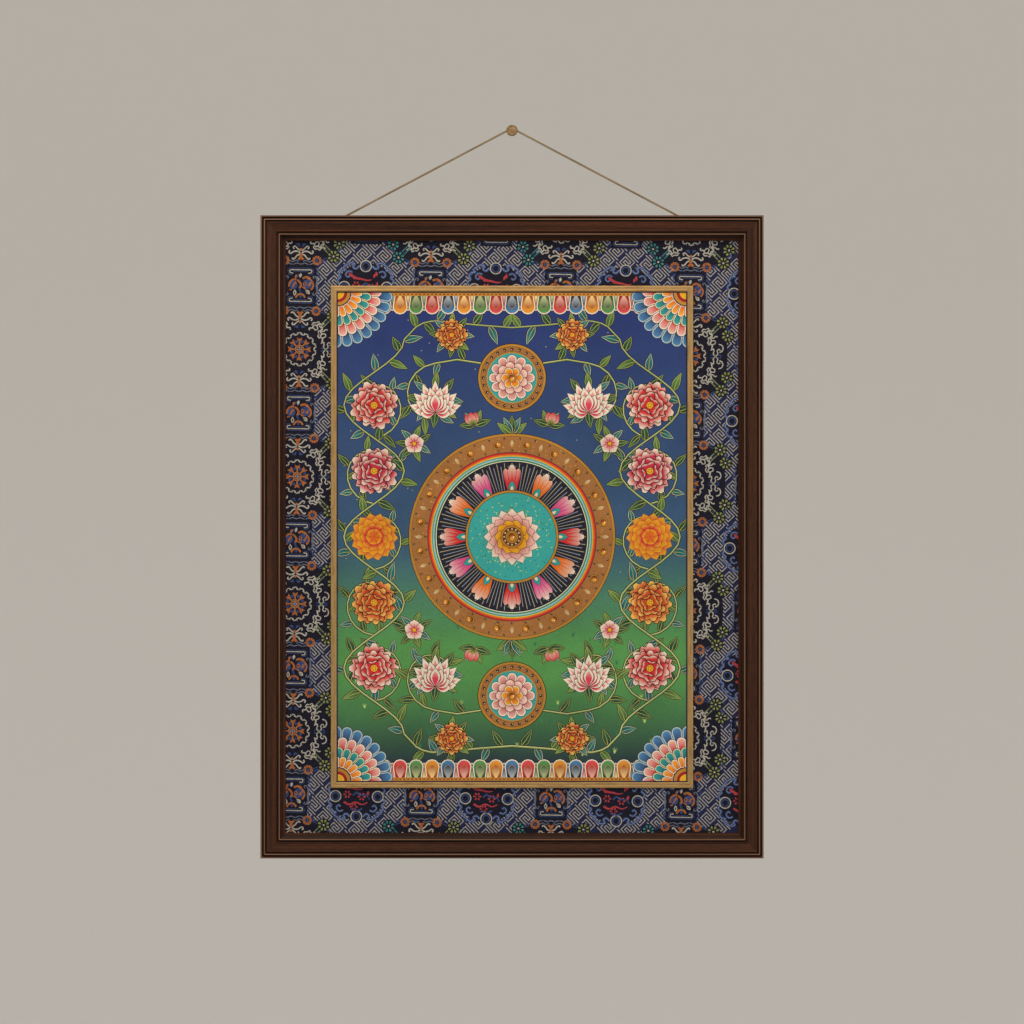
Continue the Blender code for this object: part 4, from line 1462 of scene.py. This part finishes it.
# %% Silk brocade
THREAD = 1.1 * MM
SLUB = 0.22                            # a thread's noise runs on for 1 / 0.22 threads
RIB_SCALE = 0.314 / THREAD             # a wave texture of scale 1 repeats every 0.314 m
silk, tree, shader = material("woven_silk_brocade", Specular_IOR_Level=0.16, Sheen_Weight=0.02,
                              Sheen_Roughness=0.5)
where = add(tree, "TexCoord").outputs["Object"]
dyed = add(tree, "Attribute", attribute_name="Paint")
warp = add(tree, "Mapping", {"Vector": where, "Scale": (1 / THREAD, 1.0, SLUB / THREAD)})
weft = add(tree, "Mapping", {"Vector": where, "Scale": (SLUB / THREAD, 1.0, 1 / THREAD)})
warp_slubs = noise(tree, warp, 1.0, 2.0)
weft_slubs = noise(tree, weft, 1.0, 2.0)
threads = add(tree, "Math", {0: warp_slubs, 1: weft_slubs}, operation="ADD")
shade = ranged(tree, threads, 0.59, 1.26, 0.7, 1.3)
shaded = add(tree, "VectorMath", {0: dyed, "Scale": shade},
             operation="SCALE")
link(tree, shaded, shader, "Base Color")
gloss = ranged(tree, threads, 0.8, 0.6, 0.7, 1.3)
link(tree, gloss, shader, "Roughness")
ribs = add(tree, "TexWave", {"Vector": where, "Scale": RIB_SCALE, "Distortion": 0.4,
                             "Detail": 1.0}, wave_type="BANDS", bands_direction="DIAGONAL")
relief = add(tree, "Math", {0: threads, 1: ribs.outputs["Fac"]}, operation="ADD")
raised(tree, shader, relief, 0.3, 0.15 * MM)

brocade = picture("silk_brocade", brocade_chart, MIDDLE, brocade_low.y, brocade_high.y, silk, "brocade",
                  ["brocade_sheet"])

# %% [markdown]
# ## The painting
# A cloth painting of this kind is drawn in ink on primed cotton, filled with mineral colours and
# finished with gold. This one is a garden: a great wheel of petals between two roundels, in flowering
# vines on a ground that goes from deep blue through green to slate. The paints come first.

# %% The paints
painting_low, painting_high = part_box("painting_sheet")
INK, NAVY, BLUE, SKY, PALE_SKY = "#141118", "#1b2040", "#2d3a66", "#4a7fa8", "#9fb3b8"
GOLD, OLD_GOLD, COPPER, AMBER, STRAW = "#bb8637", "#805722", "#9a6737", "#a85a18", "#e2b85e"
CREAM, WHITE, BLUSH, PINK, RED, CRIMSON = "#d5c49a", "#e0d3bf", "#dfaca0", "#cc7277", "#c0292c", "#951a25"
ORANGE, RUST, YELLOW, LIME = "#cf651c", "#b8431c", "#d6a422", "#a9a850"
GREEN, LEAF, DARK_LEAF = "#5d9250", "#33613f", "#192f2a"
SEA, TEAL, DEEP_TEAL = "#277b7c", "#359a95", "#1d6a74"
LEAVES = ((DARK_LEAF, LEAF), ("#174750", SEA), ("#264d2b", "#6b8d4b"))      # root and tip of three greens
GILDED, COLLAR_GILT = 0.9, 0.8         # how much of the area is covered by leaf

# %% [markdown]
# A painted leaf is four layers: an ink edge, a light rim, a body that shades from root to tip, and a
# fine midrib. A stem is a dark edge, a green body and a light line on one side.

# %% Leaves and stems
INK_EDGE, RIM = 0.75, 0.45             # millimetres
STEM_EDGE = 1.3


def leaf(chart, here, length, width, tone=0, bend=0.0):
    """Half width is a sine that swells near the root; the midrib bends as x squared."""
    root, tip = LEAVES[tone % 3]
    t = np.linspace(0, 1, 6)
    shape = both_sides(length * t, 0.5 * width * np.sin(np.pi * t ** 0.75))
    shape[:, 1] += bend * shape[:, 0] ** 2 / length
    chart.paint(here, swollen(shape, INK_EDGE), INK)
    chart.paint(here, shape, CREAM if tone % 3 == 1 else LIME)
    chart.paint(here, swollen(shape, -RIM), root, tip, (0, length))
    spine = np.stack([length * t[:5], bend * length * t[:5] ** 2], -1)
    chart.paint(here, band(spine[::2], 0.8, 0.3), LIME)


def whorl(chart, here, count, inner, length, width):
    """Leaves all round a flower, their tones taking turns."""
    for k, spot in enumerate(all_round(here, count, inner)):
        leaf(chart, spot, length, width, k, 0.12 * (-1) ** k)


def stem(chart, here, path, width=2.0, end=1.0):
    """A stroke along a path, with a dark edge and a light line on one side."""
    chart.paint(here, band(path, width + STEM_EDGE, end + STEM_EDGE), INK)
    chart.paint(here, band(path, width, end), "#7f8f4f")
    chart.paint(here, band(path + (0, 0.2 * width), 0.35 * width, 0.3 * end), "#c5c58a")


def vine(chart, here, path, count, length=15.0, width=2.2, end=1.4):
    """A stem over leaves that spring from it to both sides in turn."""
    for k in range(count):
        side = (-1) ** k
        at = on_path(path, (k + 0.6) / (count + 0.2)) @ place(0, 0, 52 * side)
        leaf(chart, here @ at, length * (1 + 0.12 * np.cos(2.3 * k)), 0.42 * length, k, 0.16 * side)
    stem(chart, here, path, width, end)


tried(vine, curve([(0, 0), (20, 5), (40, 0)]), 6)

# %% [markdown]
# Flowers are rings of petals, the outer ring first. Each petal has an ink line, a body that reddens
# towards its root, and streaks from there.

# %% Peonies and chrysanthemums
PEONY_ROWS = ((1.0, 8), (0.78, 7), (0.55, 5), (0.34, 4))       # share of the radius, petals
POMPON_ROWS = ((1.0, 14), (0.8, 12), (0.58, 9), (0.34, 6))


def ruffle(chart, here, reach, width, edge, root, lobes=3):
    """One frilled petal: ink line, a fill that reddens to the root, and streaks that fan out there."""
    shape = frilled(reach, width, lobes)
    chart.paint(here, swollen(shape, 0.85), INK)
    chart.paint(here, shape, root, edge, (0.7 * reach, 0.98 * reach))
    for k in range(3):
        a = (k - 1) * 0.32 * width / reach
        tip = 0.88 * reach * np.array([np.cos(a), np.sin(a)])
        side = 0.06 * width * np.array([-np.sin(a), np.cos(a)])
        chart.paint(here, [0.3 * tip - side, tip, 0.3 * tip + side], root)


def peony(chart, here, radius, edge=WHITE, root=RED):
    """Rings of frilled petals, each ring smaller and turned by half a petal, round a dotted heart."""
    for row, (share, count) in enumerate(PEONY_ROWS):
        for k, spot in enumerate(all_round(here, count, start=11 * row, shift=0.5 * (row % 2))):
            reach = radius * share * (1 + 0.06 * np.cos(3 * k + row))
            ruffle(chart, spot, reach, 7.0 * reach / count, edge, root, 3 if row < 2 else 2)
    chart.edged(here, disc(0.15 * radius, 8), INK, YELLOW)
    for spot in all_round(here, 5, 0.08 * radius):
        chart.paint(spot, disc(0.03 * radius, 4), CRIMSON)


def pompon(chart, here, radius):
    """A chrysanthemum: many narrow petals in rings."""
    for row, (share, count) in enumerate(POMPON_ROWS):
        reach = radius * share
        shape = petal(reach, 7.2 * reach / count, 2.0, 6, 0.8)
        for spot in all_round(here, count, shift=0.5 * (row % 2)):
            chart.edged(spot, shape, CRIMSON, (RED, ORANGE)[row % 2], YELLOW, (0.6 * reach, reach), 0.4)
            chart.paint(spot, [(0.45 * reach, -0.25), (0.92 * reach, 0), (0.45 * reach, 0.25)], RED)


tried(peony, 25)

# %% [markdown]
# A lotus is seen from the side, as a fan of pointed petals. Blossoms and buds are the smallest flowers.

# %% Lotuses, blossoms, buds and grass
LOTUS_FANS = (                         # reach and width as shares of the radius, and the petals' turns
    (1.00, 0.30, (-74, 74, -48, 48, -24, 24, 0)),
    (0.80, 0.34, (-86, 86, -60, 60, -36, 36, -12, 12)),
    (0.58, 0.34, (-96, 96, -66, 66, -40, 40, -20, 20, 0)),
)


def lotus(chart, here, radius, edge=WHITE, root=RED, tip=BLUSH):
    """Pointed petals fanned from one root along +x, the outer ones first, the middle ones last."""
    for share, wide, turns in LOTUS_FANS:
        for turn in turns:
            reach = radius * share * (1 + 0.10 * np.cos(radians(2 * turn)))
            p = here @ place(0, 0, turn)
            shape = petal(reach, wide * radius, 1.15, 6)
            chart.paint(p, swollen(shape, 0.6), INK)
            chart.paint(p, shape, edge)
            inner = petal(0.84 * reach, 0.66 * wide * radius, 1.15, 6)
            chart.paint(p, inner, root, tip, (0.45 * reach, 0.9 * reach))
            chart.paint(p, [(0.3 * reach, -0.3), (0.8 * reach, 0), (0.3 * reach, 0.3)], root)


def blossom(chart, here, radius, edge=WHITE, root=PINK):
    """Five round petals with a red root and yellow stamens."""
    shape = petal(radius, 0.95 * radius, 1.7, 5, 0.75)
    streak = np.array([(0.1, -0.12), (0.62, 0), (0.1, 0.12)])
    for spot in all_round(here, 5, start=90):
        chart.edged(spot, shape, INK, root, edge, (0.3 * radius, 0.85 * radius), 0.4)
        chart.paint(spot, streak * radius, RED)
    chart.edged(here, disc(0.2 * radius, 6), INK, YELLOW, width=0.25)


def bud(chart, here, size, root=RED, tip=BLUSH):
    """Three closed petals in a green cup."""
    for turn in (-24, 24, 0):
        chart.edged(here @ place(0, 0, turn), petal(size, 0.62 * size, 1.1, 5), INK, tip, root,
                    (0.15 * size, size))
    for turn in (-40, 0, 40):
        chart.edged(here @ place(0, 0, turn), petal(0.5 * size, 0.25 * size, 0.9, 4), INK, DARK_LEAF, LIME,
                    (0, 0.5 * size), 0.3)


def tuft(chart, here, height, colour):
    """Grass: thin blades that fan up."""
    for turn in (-24, -8, 8, 24):
        chart.paint(here @ place(0, 0, turn), [(0, -0.5), (height, 0), (0, 0.5)], colour)


tried(lotus, 32)

# %% [markdown]
# Rings are discs over larger discs. A jewel is a dark rim, a stone that glows in its lower half, and
# a glint where the light comes in.

# %% Gold rings, stones and studs
def hoops(chart, here, points, rings, scale=1.0):
    """Discs, each smaller than the one before it, so that a ring of each is left. Gold is gilded."""
    for radius, colour in rings:
        chart.paint(here, disc(radius * scale, points), colour, gilt=GILDED if colour == GOLD else 0.0)


def cabochon(chart, here, radius):
    """A domed amber stone in a gold collar: dark rim, glowing lower half and a white glint."""
    chart.edged(here, disc(radius, 12), INK, GOLD, gilt=COLLAR_GILT)
    chart.edged(here, disc(0.74 * radius, 12), "#3a1c08", "#5e2c0c", "#c9761c",
                (-0.7 * radius, 0.9 * radius), 0.25)
    chart.paint(here @ place(0.18 * radius, -0.12 * radius), disc(0.42 * radius, 8), AMBER, "#f0b347",
                (-0.5 * radius, 0.5 * radius))
    chart.paint(here @ place(0.2 * radius, 0.25 * radius), disc(0.15 * radius, 5), "#fff4d8")


def stud(chart, here, radius):
    """A dark bead with a glint."""
    chart.edged(here, disc(radius, 7), "#6b4420", "#26201c", width=0.3)
    chart.paint(here @ place(-0.25 * radius, 0.3 * radius), disc(0.4 * radius, 4), "#cfc3a4")


tried(cabochon, 4.6)

# %% [markdown]
# Two rows of nested, round-ended petals stand on a gold line along the top and the bottom edge.

# %% A frieze of lappets
LAPPETS = ((NAVY, SKY, PALE_SKY), (CRIMSON, "#d04c50", BLUSH), ("#1e5240", GREEN, "#b4bb88"),
           ("#a04818", "#dc9534", "#e6cc8a"))
LAPPET_PITCH = 17.5


def lappet(chart, here, reach, width, tones):
    """A round-ended petal: ink, white edge, then tones that shade to the tip, and a small petal."""
    shape = tongue(reach, width)
    chart.paint(here, swollen(shape, 0.5), INK)
    chart.paint(here, shape, WHITE)
    chart.paint(here, swollen(shape, -1.2), tones[0], tones[1], (0.2 * reach, 0.95 * reach))
    chart.edged(here, petal(0.72 * reach, 0.52 * width, 1.7, 6, 0.7), GOLD, tones[2], tones[0],
                (0.1 * reach, 0.7 * reach), 0.5)


def frieze(chart, here, half_length, pitch=LAPPET_PITCH):
    """Two rows of lappets that stand on a gold line along x."""
    count = int(half_length / pitch)
    for k in range(-count, count):
        lappet(chart, here @ place((k + 0.5) * pitch, 0, 90), 18.5, 15, LAPPETS[(k + 1) % 4])
    for k in range(-count, count + 1):
        lappet(chart, here @ place(k * pitch, 0, 90), 22.5, 16.5, LAPPETS[k % 4])
    chart.paint(here @ place(0, 0.6), rectangle(2 * half_length, 3.6), GOLD, gilt=GILDED)
    for k in range(-4 * count, 4 * count + 1):
        chart.paint(here @ place(k * pitch / 4, 0.6), disc(1.0, 5), CRIMSON)


tried(frieze, 140)

# %% [markdown]
# Rings of round lobes make the four corners, where only a quarter shows, and the two roundels above
# and below the wheel.

# %% Corners and roundels
CORNER_ROWS = ((60, 9, 18, (PALE_SKY, SKY, BLUE)), (48, 8, 16, (WHITE, BLUSH, RED)),
               (37, 7, 14, (CREAM, TEAL, DEEP_TEAL)), (27, 6, 12, (WHITE, "#eda53a", ORANGE)))
CORNER_BOSS = ((14.5, INK), (13.9, GOLD), (10.4, CRIMSON), (7.2, YELLOW))
ROUNDEL_RINGS = ((1.02, INK), (1.0, GOLD), (0.93, INK), (0.92, COPPER), (0.78, INK), (0.77, GOLD),
                 (0.73, TEAL))
ROUNDEL_ROWS = ((0.68, 12, 0.42, (WHITE, BLUSH, CRIMSON)), (0.48, 9, 0.32, (BLUSH, WHITE, RED)),
                (0.32, 6, 0.22, (WHITE, YELLOW, ORANGE)))


def lobe_rings(chart, here, rows, sweep=360.0, scale=1.0):
    """Rings of round lobes, the outer ones first. A row gives reach, count in the sweep, size, tones."""
    for row, (reach, count, size, (edge, middle, deep)) in enumerate(rows):
        reach, size = reach * scale, size * scale
        lobe = tongue(size, 0.0175 * sweep * (reach - 0.35 * size) / count)
        for k in range(count):
            p = here @ place(0, 0, sweep * (k + 0.5 * (row % 2)) / count) @ place(reach - size)
            chart.paint(p, swollen(lobe, 0.6), INK)
            chart.paint(p, lobe, edge)
            chart.paint(p, swollen(lobe, -0.06 * size - 0.3), deep, middle, (0.2 * size, 0.95 * size))


def corner_fan(chart, here):
    """A quarter of a rosette, with a gold boss where the edges of the cloth meet."""
    lobe_rings(chart, here @ place(0, 0, -8), CORNER_ROWS, 112)
    hoops(chart, here, 28, CORNER_BOSS)


def roundel(chart, here, radius):
    """A small wheel of a gold ring, a studded copper band and a rosette of petals on turquoise."""
    hoops(chart, here, 48, ROUNDEL_RINGS, radius)
    for spot in all_round(here, 24, 0.85 * radius):
        stud(chart, spot, 0.045 * radius)
    lobe_rings(chart, here, ROUNDEL_ROWS, scale=radius)
    cabochon(chart, here @ place(0, 0, -60), 0.13 * radius)


tried(roundel, 37)

# %% [markdown]
# From the outside in: a gold and copper rim with punched dots and stones, coloured bands, a dark field
# with rays and frilled petals, and a turquoise pool with a flower.

# %% The wheel of petals
RIM_RINGS = ((113.4, INK), (112.8, GOLD), (110.4, OLD_GOLD), (109.7, COPPER))
BANDS = ((92.6, INK), (92.0, RED), (90.4, ORANGE), (89.0, YELLOW), (87.8, TEAL), (86.4, PALE_SKY),
         (85.0, "#2e7d46"), (83.4, WHITE), (82.6, INK), (82.0, "#1d1f2b"))
POOL_RINGS = ((51.4, INK), (50.8, GOLD), (48.6, INK), (48.1, TEAL))
HEART_ROWS = ((31.0, 16, WHITE, RED), (25.5, 12, BLUSH, CRIMSON), (19.0, 10, YELLOW, ORANGE))
HEART_RINGS = ((12.6, INK), (12.1, GOLD), (10.4, "#5b3210"))
POOL_GREENS = ("#8fb257", "#4f8a4c", "#b9c76a", "#2e6b4a")
PUNCH_MARKS, RAYS, STIPPLES = 150, 120, 240


def wheel_rim(chart, here, rng):
    """Gold and copper rings, with punched dots at random (painted light on the upper half, painted shade
    on the lower), stones, petals and two rows of studs.
    """
    hoops(chart, here, 108, RIM_RINGS)
    for r, a in zip(rng.uniform(93.5, 109, PUNCH_MARKS), rng.uniform(0, 360, PUNCH_MARKS)):
        # Dots on the ring's upper half are painted light, those on its lower half painted shade.
        chart.paint(here @ place(0, 0, a) @ place(r), disc(0.8, 4), "#c98d55" if a < 180 else "#7d4a27")
    for stone, bloom in zip(all_round(here, 20, shift=0.5), all_round(here, 20, 97.5)):
        cabochon(chart, stone @ place(101.4, 0, -60), 4.6)
        chart.edged(bloom, petal(8.6, 4.2, 1.0, 5), OLD_GOLD, GOLD, CREAM, (0, 8.6), 0.3, COLLAR_GILT)
    for outer, inner in zip(all_round(here, 40, 107.6, shift=0.5), all_round(here, 40, 94.6)):
        stud(chart, outer, 1.15)
        stud(chart, inner, 1.15)


def wheel_field_of_petals(chart, here):
    """Coloured bands, then fine rays of two lengths and twelve frilled petals on the dark field."""
    hoops(chart, here, 90, BANDS)
    for k, ray in enumerate(all_round(here, RAYS)):
        end = 80.8 - 3.2 * (k % 2)
        chart.paint(ray, [(47, -0.2), (end, -0.4), (end, 0.4), (47, 0.2)], "#8a8fa0" if k % 2 else "#a59a80")
    for k, p in enumerate(all_round(here, 12)):
        ruffle(chart, p @ place(46), 33, 21, WHITE, (RED, "#c2477a", ORANGE)[k % 3])
        chart.edged(p @ place(46), petal(15, 7.5, 1.2, 6), INK, DEEP_TEAL, TEAL, (0, 15))
        chart.paint(p @ place(48), petal(8, 3.4, 1.2, 5), CREAM)


def wheel_heart(chart, here, rng):
    """A turquoise pool whose stipple thins outwards, and in it a flower of three rings of petals."""
    hoops(chart, here, 84, POOL_RINGS)
    for k in range(STIPPLES):
        r = 27 + 19 * rng.uniform() ** 1.6
        chart.paint(here @ place(0, 0, rng.uniform(0, 360)) @ place(r), disc(0.85, 4), POOL_GREENS[k % 4])
    for row, (reach, count, edge, root) in enumerate(HEART_ROWS):
        shape = petal(reach, 7.0 * reach / count, 1.6, 7, 0.9)
        for p in all_round(here, count, shift=0.5 * (row == 1)):
            chart.edged(p, shape, INK, root, edge, (0.45 * reach, 0.95 * reach), 0.45)
            chart.paint(p, [(0.5 * reach, -0.3), (0.86 * reach, 0), (0.5 * reach, 0.3)], root)
    hoops(chart, here, 36, HEART_RINGS)
    for spot in all_round(here, 12, 8.6):
        chart.paint(spot, disc(0.95, 5), CREAM)
    hoops(chart, here, 24, ((6.8, GOLD),))
    cabochon(chart, here @ place(0, 0, -60), 5.4)


def great_wheel(chart, here):
    """Rim, field and heart. The dots and the stipple fall at random, always in the same way."""
    rng = np.random.default_rng(3)
    wheel_rim(chart, here, rng)
    wheel_field_of_petals(chart, here)
    wheel_heart(chart, here, rng)


tried(great_wheel)

# %% [markdown]
# A vine climbs each side in a wave, with a flower and a branch wound round it in each of its bends.

# %% Vines down both sides
COLUMN, SWING, BEND = 151.0, 33.0, 72.0            # the wave's middle, its reach and half its length
VINE_END = ((0, -229), (40, -232), (88, -236), (112, -226))
COLUMN_FLOWERS = ((peony, 26, WHITE, RED), (peony, 25, STRAW, RUST), (pompon, 26),
                  (peony, 26, WHITE, "#b3263f"), (peony, 26, WHITE, RED))


def column_vine(chart, flip):
    """A wave from the bottom middle up to the top middle, with a flower in each of its bends."""
    y = np.linspace(-216, 216, 49)
    wave = np.stack([COLUMN + SWING * np.cos(np.pi * y / BEND), y], -1)
    low_end = curve(VINE_END, 3)
    path = np.concatenate([low_end[:-1], wave, (low_end * (1, -1))[-2::-1]])
    for k in range(len(COLUMN_FLOWERS)):
        middle, side = (COLUMN, (k - 2) * BEND), (-1) ** k
        vine(chart, flip, spiral(middle, -90, -230 * side, 0.5 * BEND, 18, 14), 8, 17, 1.7, 1.4)
    vine(chart, flip, path, 54, 20)
    for k, (flower, *settings) in enumerate(COLUMN_FLOWERS):
        flower(chart, flip @ place(COLUMN, (k - 2) * BEND, 40 * k), *settings)


def inner_scrolls(chart, flip):
    """Beside each roundel a scroll with a lotus, and round it a peony, a blossom and a bud."""
    for up in (-1, 1):
        scroll = np.concatenate([[(34, 190), (60, 194)], spiral((84, 152), 90, -250, 38, 16, 14)]) * (1, up)
        vine(chart, flip, scroll, 13, 18, 1.8, 1.4)
        whorl(chart, flip @ place(84, 150 * up), 8, 12, 19, 8)
        lotus(chart, flip @ place(84, 150 * up - 14, 90), 32, WHITE, "#cf3f55")
        whorl(chart, flip @ place(66, 221 * up), 8, 10, 15, 7)
        peony(chart, flip @ place(66, 221 * up), 17, STRAW, RUST)
        whorl(chart, flip @ place(107, 102 * up), 7, 5, 16, 7)
        blossom(chart, flip @ place(107, 102 * up), 11)
        for turn in (0, 50, 110, 160):
            leaf(chart, flip @ place(40, 122 * up, turn * up), 18, 7.5, turn // 50)
        bud(chart, flip @ place(42, 122 * up, 75 * up), 15)


tried(column_vine)

# %% [markdown]
# The whole cloth goes from the ground up: three washes, grass and gold flecks, vines, friezes,
# roundels, corners, and the great wheel over them all.

# %% Paint the whole cloth
HALF_CLOTH = (191.7, 268.2)
HORIZON_BLUE, MEADOW = "#36546f", "#4f8a4a"
WASHES = ((267, 290, "#24306b", HORIZON_BLUE), (-10, 105, HORIZON_BLUE, MEADOW),
          (-155, 90, MEADOW, "#27383c"))
GRASS = ("#3d7a4a", "#2f6a4f", "#a8c46a")
CLOTH_CORNER = (-190.7, -267.2)


def wash(height):
    """A band of ground across the whole cloth, from its top edge down."""
    return np.array([(0, -192), (height, -192), (height, 192), (0, 192)])


def painted_chart():
    """The great wheel between two roundels in flowering vines, on a ground from blue to green."""
    chart = Chart(HALF_CLOTH, NAVY)
    for top, drop, upper, lower in WASHES:
        chart.paint(place(0, top, -90), wash(top + 268), upper, lower, (0, drop))
    rng = np.random.default_rng(5)
    for k in range(70):
        x, y = rng.uniform(-186, 186), rng.uniform(-240, -90)
        tuft(chart, place(x, y, 90 + rng.uniform(-12, 12)), rng.uniform(5, 8), GRASS[k % 3])
        chart.paint(place(rng.uniform(-184, 184), rng.uniform(-40, 240)), disc(0.8, 4), "#9a9470")
    for flip in twice(HOME):
        column_vine(chart, flip)
        inner_scrolls(chart, flip)
    for up in (-1, 1):
        frieze(chart, place(0, 266 * up, 90 + 90 * up), 140)
        for turn in (-52, -26, 0, 26, 52):
            leaf(chart, place(0, 112 * up, 90 * up + turn), 21, 8, abs(turn) // 26)
        roundel(chart, place(0, 174 * up), 37)
        for x in (-1, 1):
            corner_fan(chart, np.diag([-x, -up, 1.0]) @ place(*CLOTH_CORNER))
    great_wheel(chart, HOME)
    return chart


painting_chart = painted_chart()
print("painting shapes:", len(painting_chart.shapes))

# %% [markdown]
# Mineral colours in animal glue on primed cotton: matt, slightly uneven, with the weave just showing
# through. Burnished gold alone has a shine. The threads are 0.5 mm apart; they are drawn at 1 mm, the
# finest that shows.

# %% Painted cotton
WEAVE_SCALE = 0.314 / (1.0 * MM)
PIGMENT_SCALE, WASH_SCALE = 520.0, 26.0            # per metre: grains of 2 mm, uneven washes of 38 mm
canvas, tree, shader = material("distemper_on_primed_cotton", Specular_IOR_Level=0.2)
where = add(tree, "TexCoord").outputs["Object"]
pigment = add(tree, "Attribute", attribute_name="Paint")
leafed = add(tree, "Attribute", attribute_name="Gilt")
grains = noise(tree, where, PIGMENT_SCALE, 3.0)
washed = noise(tree, where, WASH_SCALE, 3.0)
uneven = add(tree, "Math", {0: grains, 1: washed}, operation="ADD")
cover = ranged(tree, uneven, 0.84, 1.12, 0.7, 1.3)
painted = add(tree, "VectorMath", {0: pigment, "Scale": cover},
              operation="SCALE")
link(tree, painted, shader, "Base Color")
shine = add(tree, "Math", {0: leafed.outputs["Fac"], 1: 0.8}, operation="MULTIPLY")
link(tree, shine, shader, "Metallic")
gloss = ranged(tree, leafed.outputs["Fac"], 0.78, 0.38)
link(tree, gloss, shader, "Roughness")
weave = {"Vector": where, "Scale": WEAVE_SCALE, "Distortion": 0.6, "Detail": 1.0}
upright = add(tree, "TexWave", weave, wave_type="BANDS", bands_direction="X")
level = add(tree, "TexWave", weave, wave_type="BANDS", bands_direction="Z")
cloth = add(tree, "Math", {0: upright.outputs["Fac"], 1: level.outputs["Fac"]}, operation="MULTIPLY")
tooth = add(tree, "Math", {0: cloth, 1: grains}, operation="ADD")
raised(tree, shader, tooth, 0.15, 0.1 * MM)

painting = picture("painted_cloth", painting_chart, MIDDLE, painting_low.y, painting_high.y, canvas,
                   "painting", ["painting_sheet"])

# %% [markdown]
# ## Floor and light
# The hanging is shown by itself: a pale plain floor well below it, which sweeps up far behind so
# that no line shows where it ends.

# %% Floor and surround
FLOOR_Z = -2.7                         # low enough to look up at the frame from above the floor
FLOOR_HALF_WIDTH = 40.0
FLOOR_FRONT = -40.0
SWEEP_FOOT = 7.0                       # further back than a camera that looks at the frame's back
SWEEP_RADIUS = 3.0
SWEEP_TOP = 12.0
chalk, tree, shader = material("matt_pale_backdrop", Base_Color="#e9e6e1", Roughness=0.95)
curved = arc((SWEEP_FOOT, FLOOR_Z + SWEEP_RADIUS), (SWEEP_RADIUS, SWEEP_RADIUS), -90, 0, 24)
profile = np.concatenate([[(FLOOR_FRONT, FLOOR_Z)], curved, [(SWEEP_FOOT + SWEEP_RADIUS, SWEEP_TOP)]])
across = np.array([-1, 1])[:, None] * FLOOR_HALF_WIDTH * np.ones(len(profile))
floor_points = np.stack([across, *(np.tile(column, (2, 1)) for column in profile.T)], -1).reshape(-1, 3)
mesh = bpy.data.meshes.new("floor")
mesh.from_pydata(floor_points.tolist(), [], [face[::-1] for face in net(2, len(profile))])
mesh.materials.append(chalk)
mesh.shade_smooth()
floor = bpy.data.objects.new("floor", mesh)
bpy.context.scene.collection.objects.link(floor)

world = bpy.data.worlds.new("pale_surround")
world.use_nodes = True
surround_light = world.node_tree.nodes["Background"]
surround_light.inputs["Color"].default_value = rgba("#e6e3de")
surround_light.inputs["Strength"].default_value = 0.75
bpy.context.scene.world = world
bpy.context.scene.view_settings.view_transform = "Standard"
print(f"floor {2 * FLOOR_HALF_WIDTH:.0f} m wide, {-FLOOR_Z} m below the peg")

# %% [markdown]
# One large light above and in front gives the soft shadow under each bead of the moulding, and a
# weaker one from the other side opens the shadows.

# %% Lights
def soft_light(name, spot, aim, size, power, tint):
    """A square area light at a spot, turned to face a point."""
    data = bpy.data.lights.new(name, "AREA")
    data.size, data.energy, data.color = size, power, linear(tint)
    made = bpy.data.objects.new(name, data)
    made.location = spot
    made.rotation_euler = (Vector(aim) - Vector(spot)).to_track_quat("-Z", "Y").to_euler()
    bpy.context.scene.collection.objects.link(made)
    print(f"{name} light: {power} W, {size} m wide")


soft_light("key", (-0.35, -1.5, 1.0), (0, 0, -0.4), 0.9, 26, "#fff1de")
soft_light("fill", (1.4, -2.2, -0.2), (0, 0, -0.45), 1.4, 10, "#eef2ff")
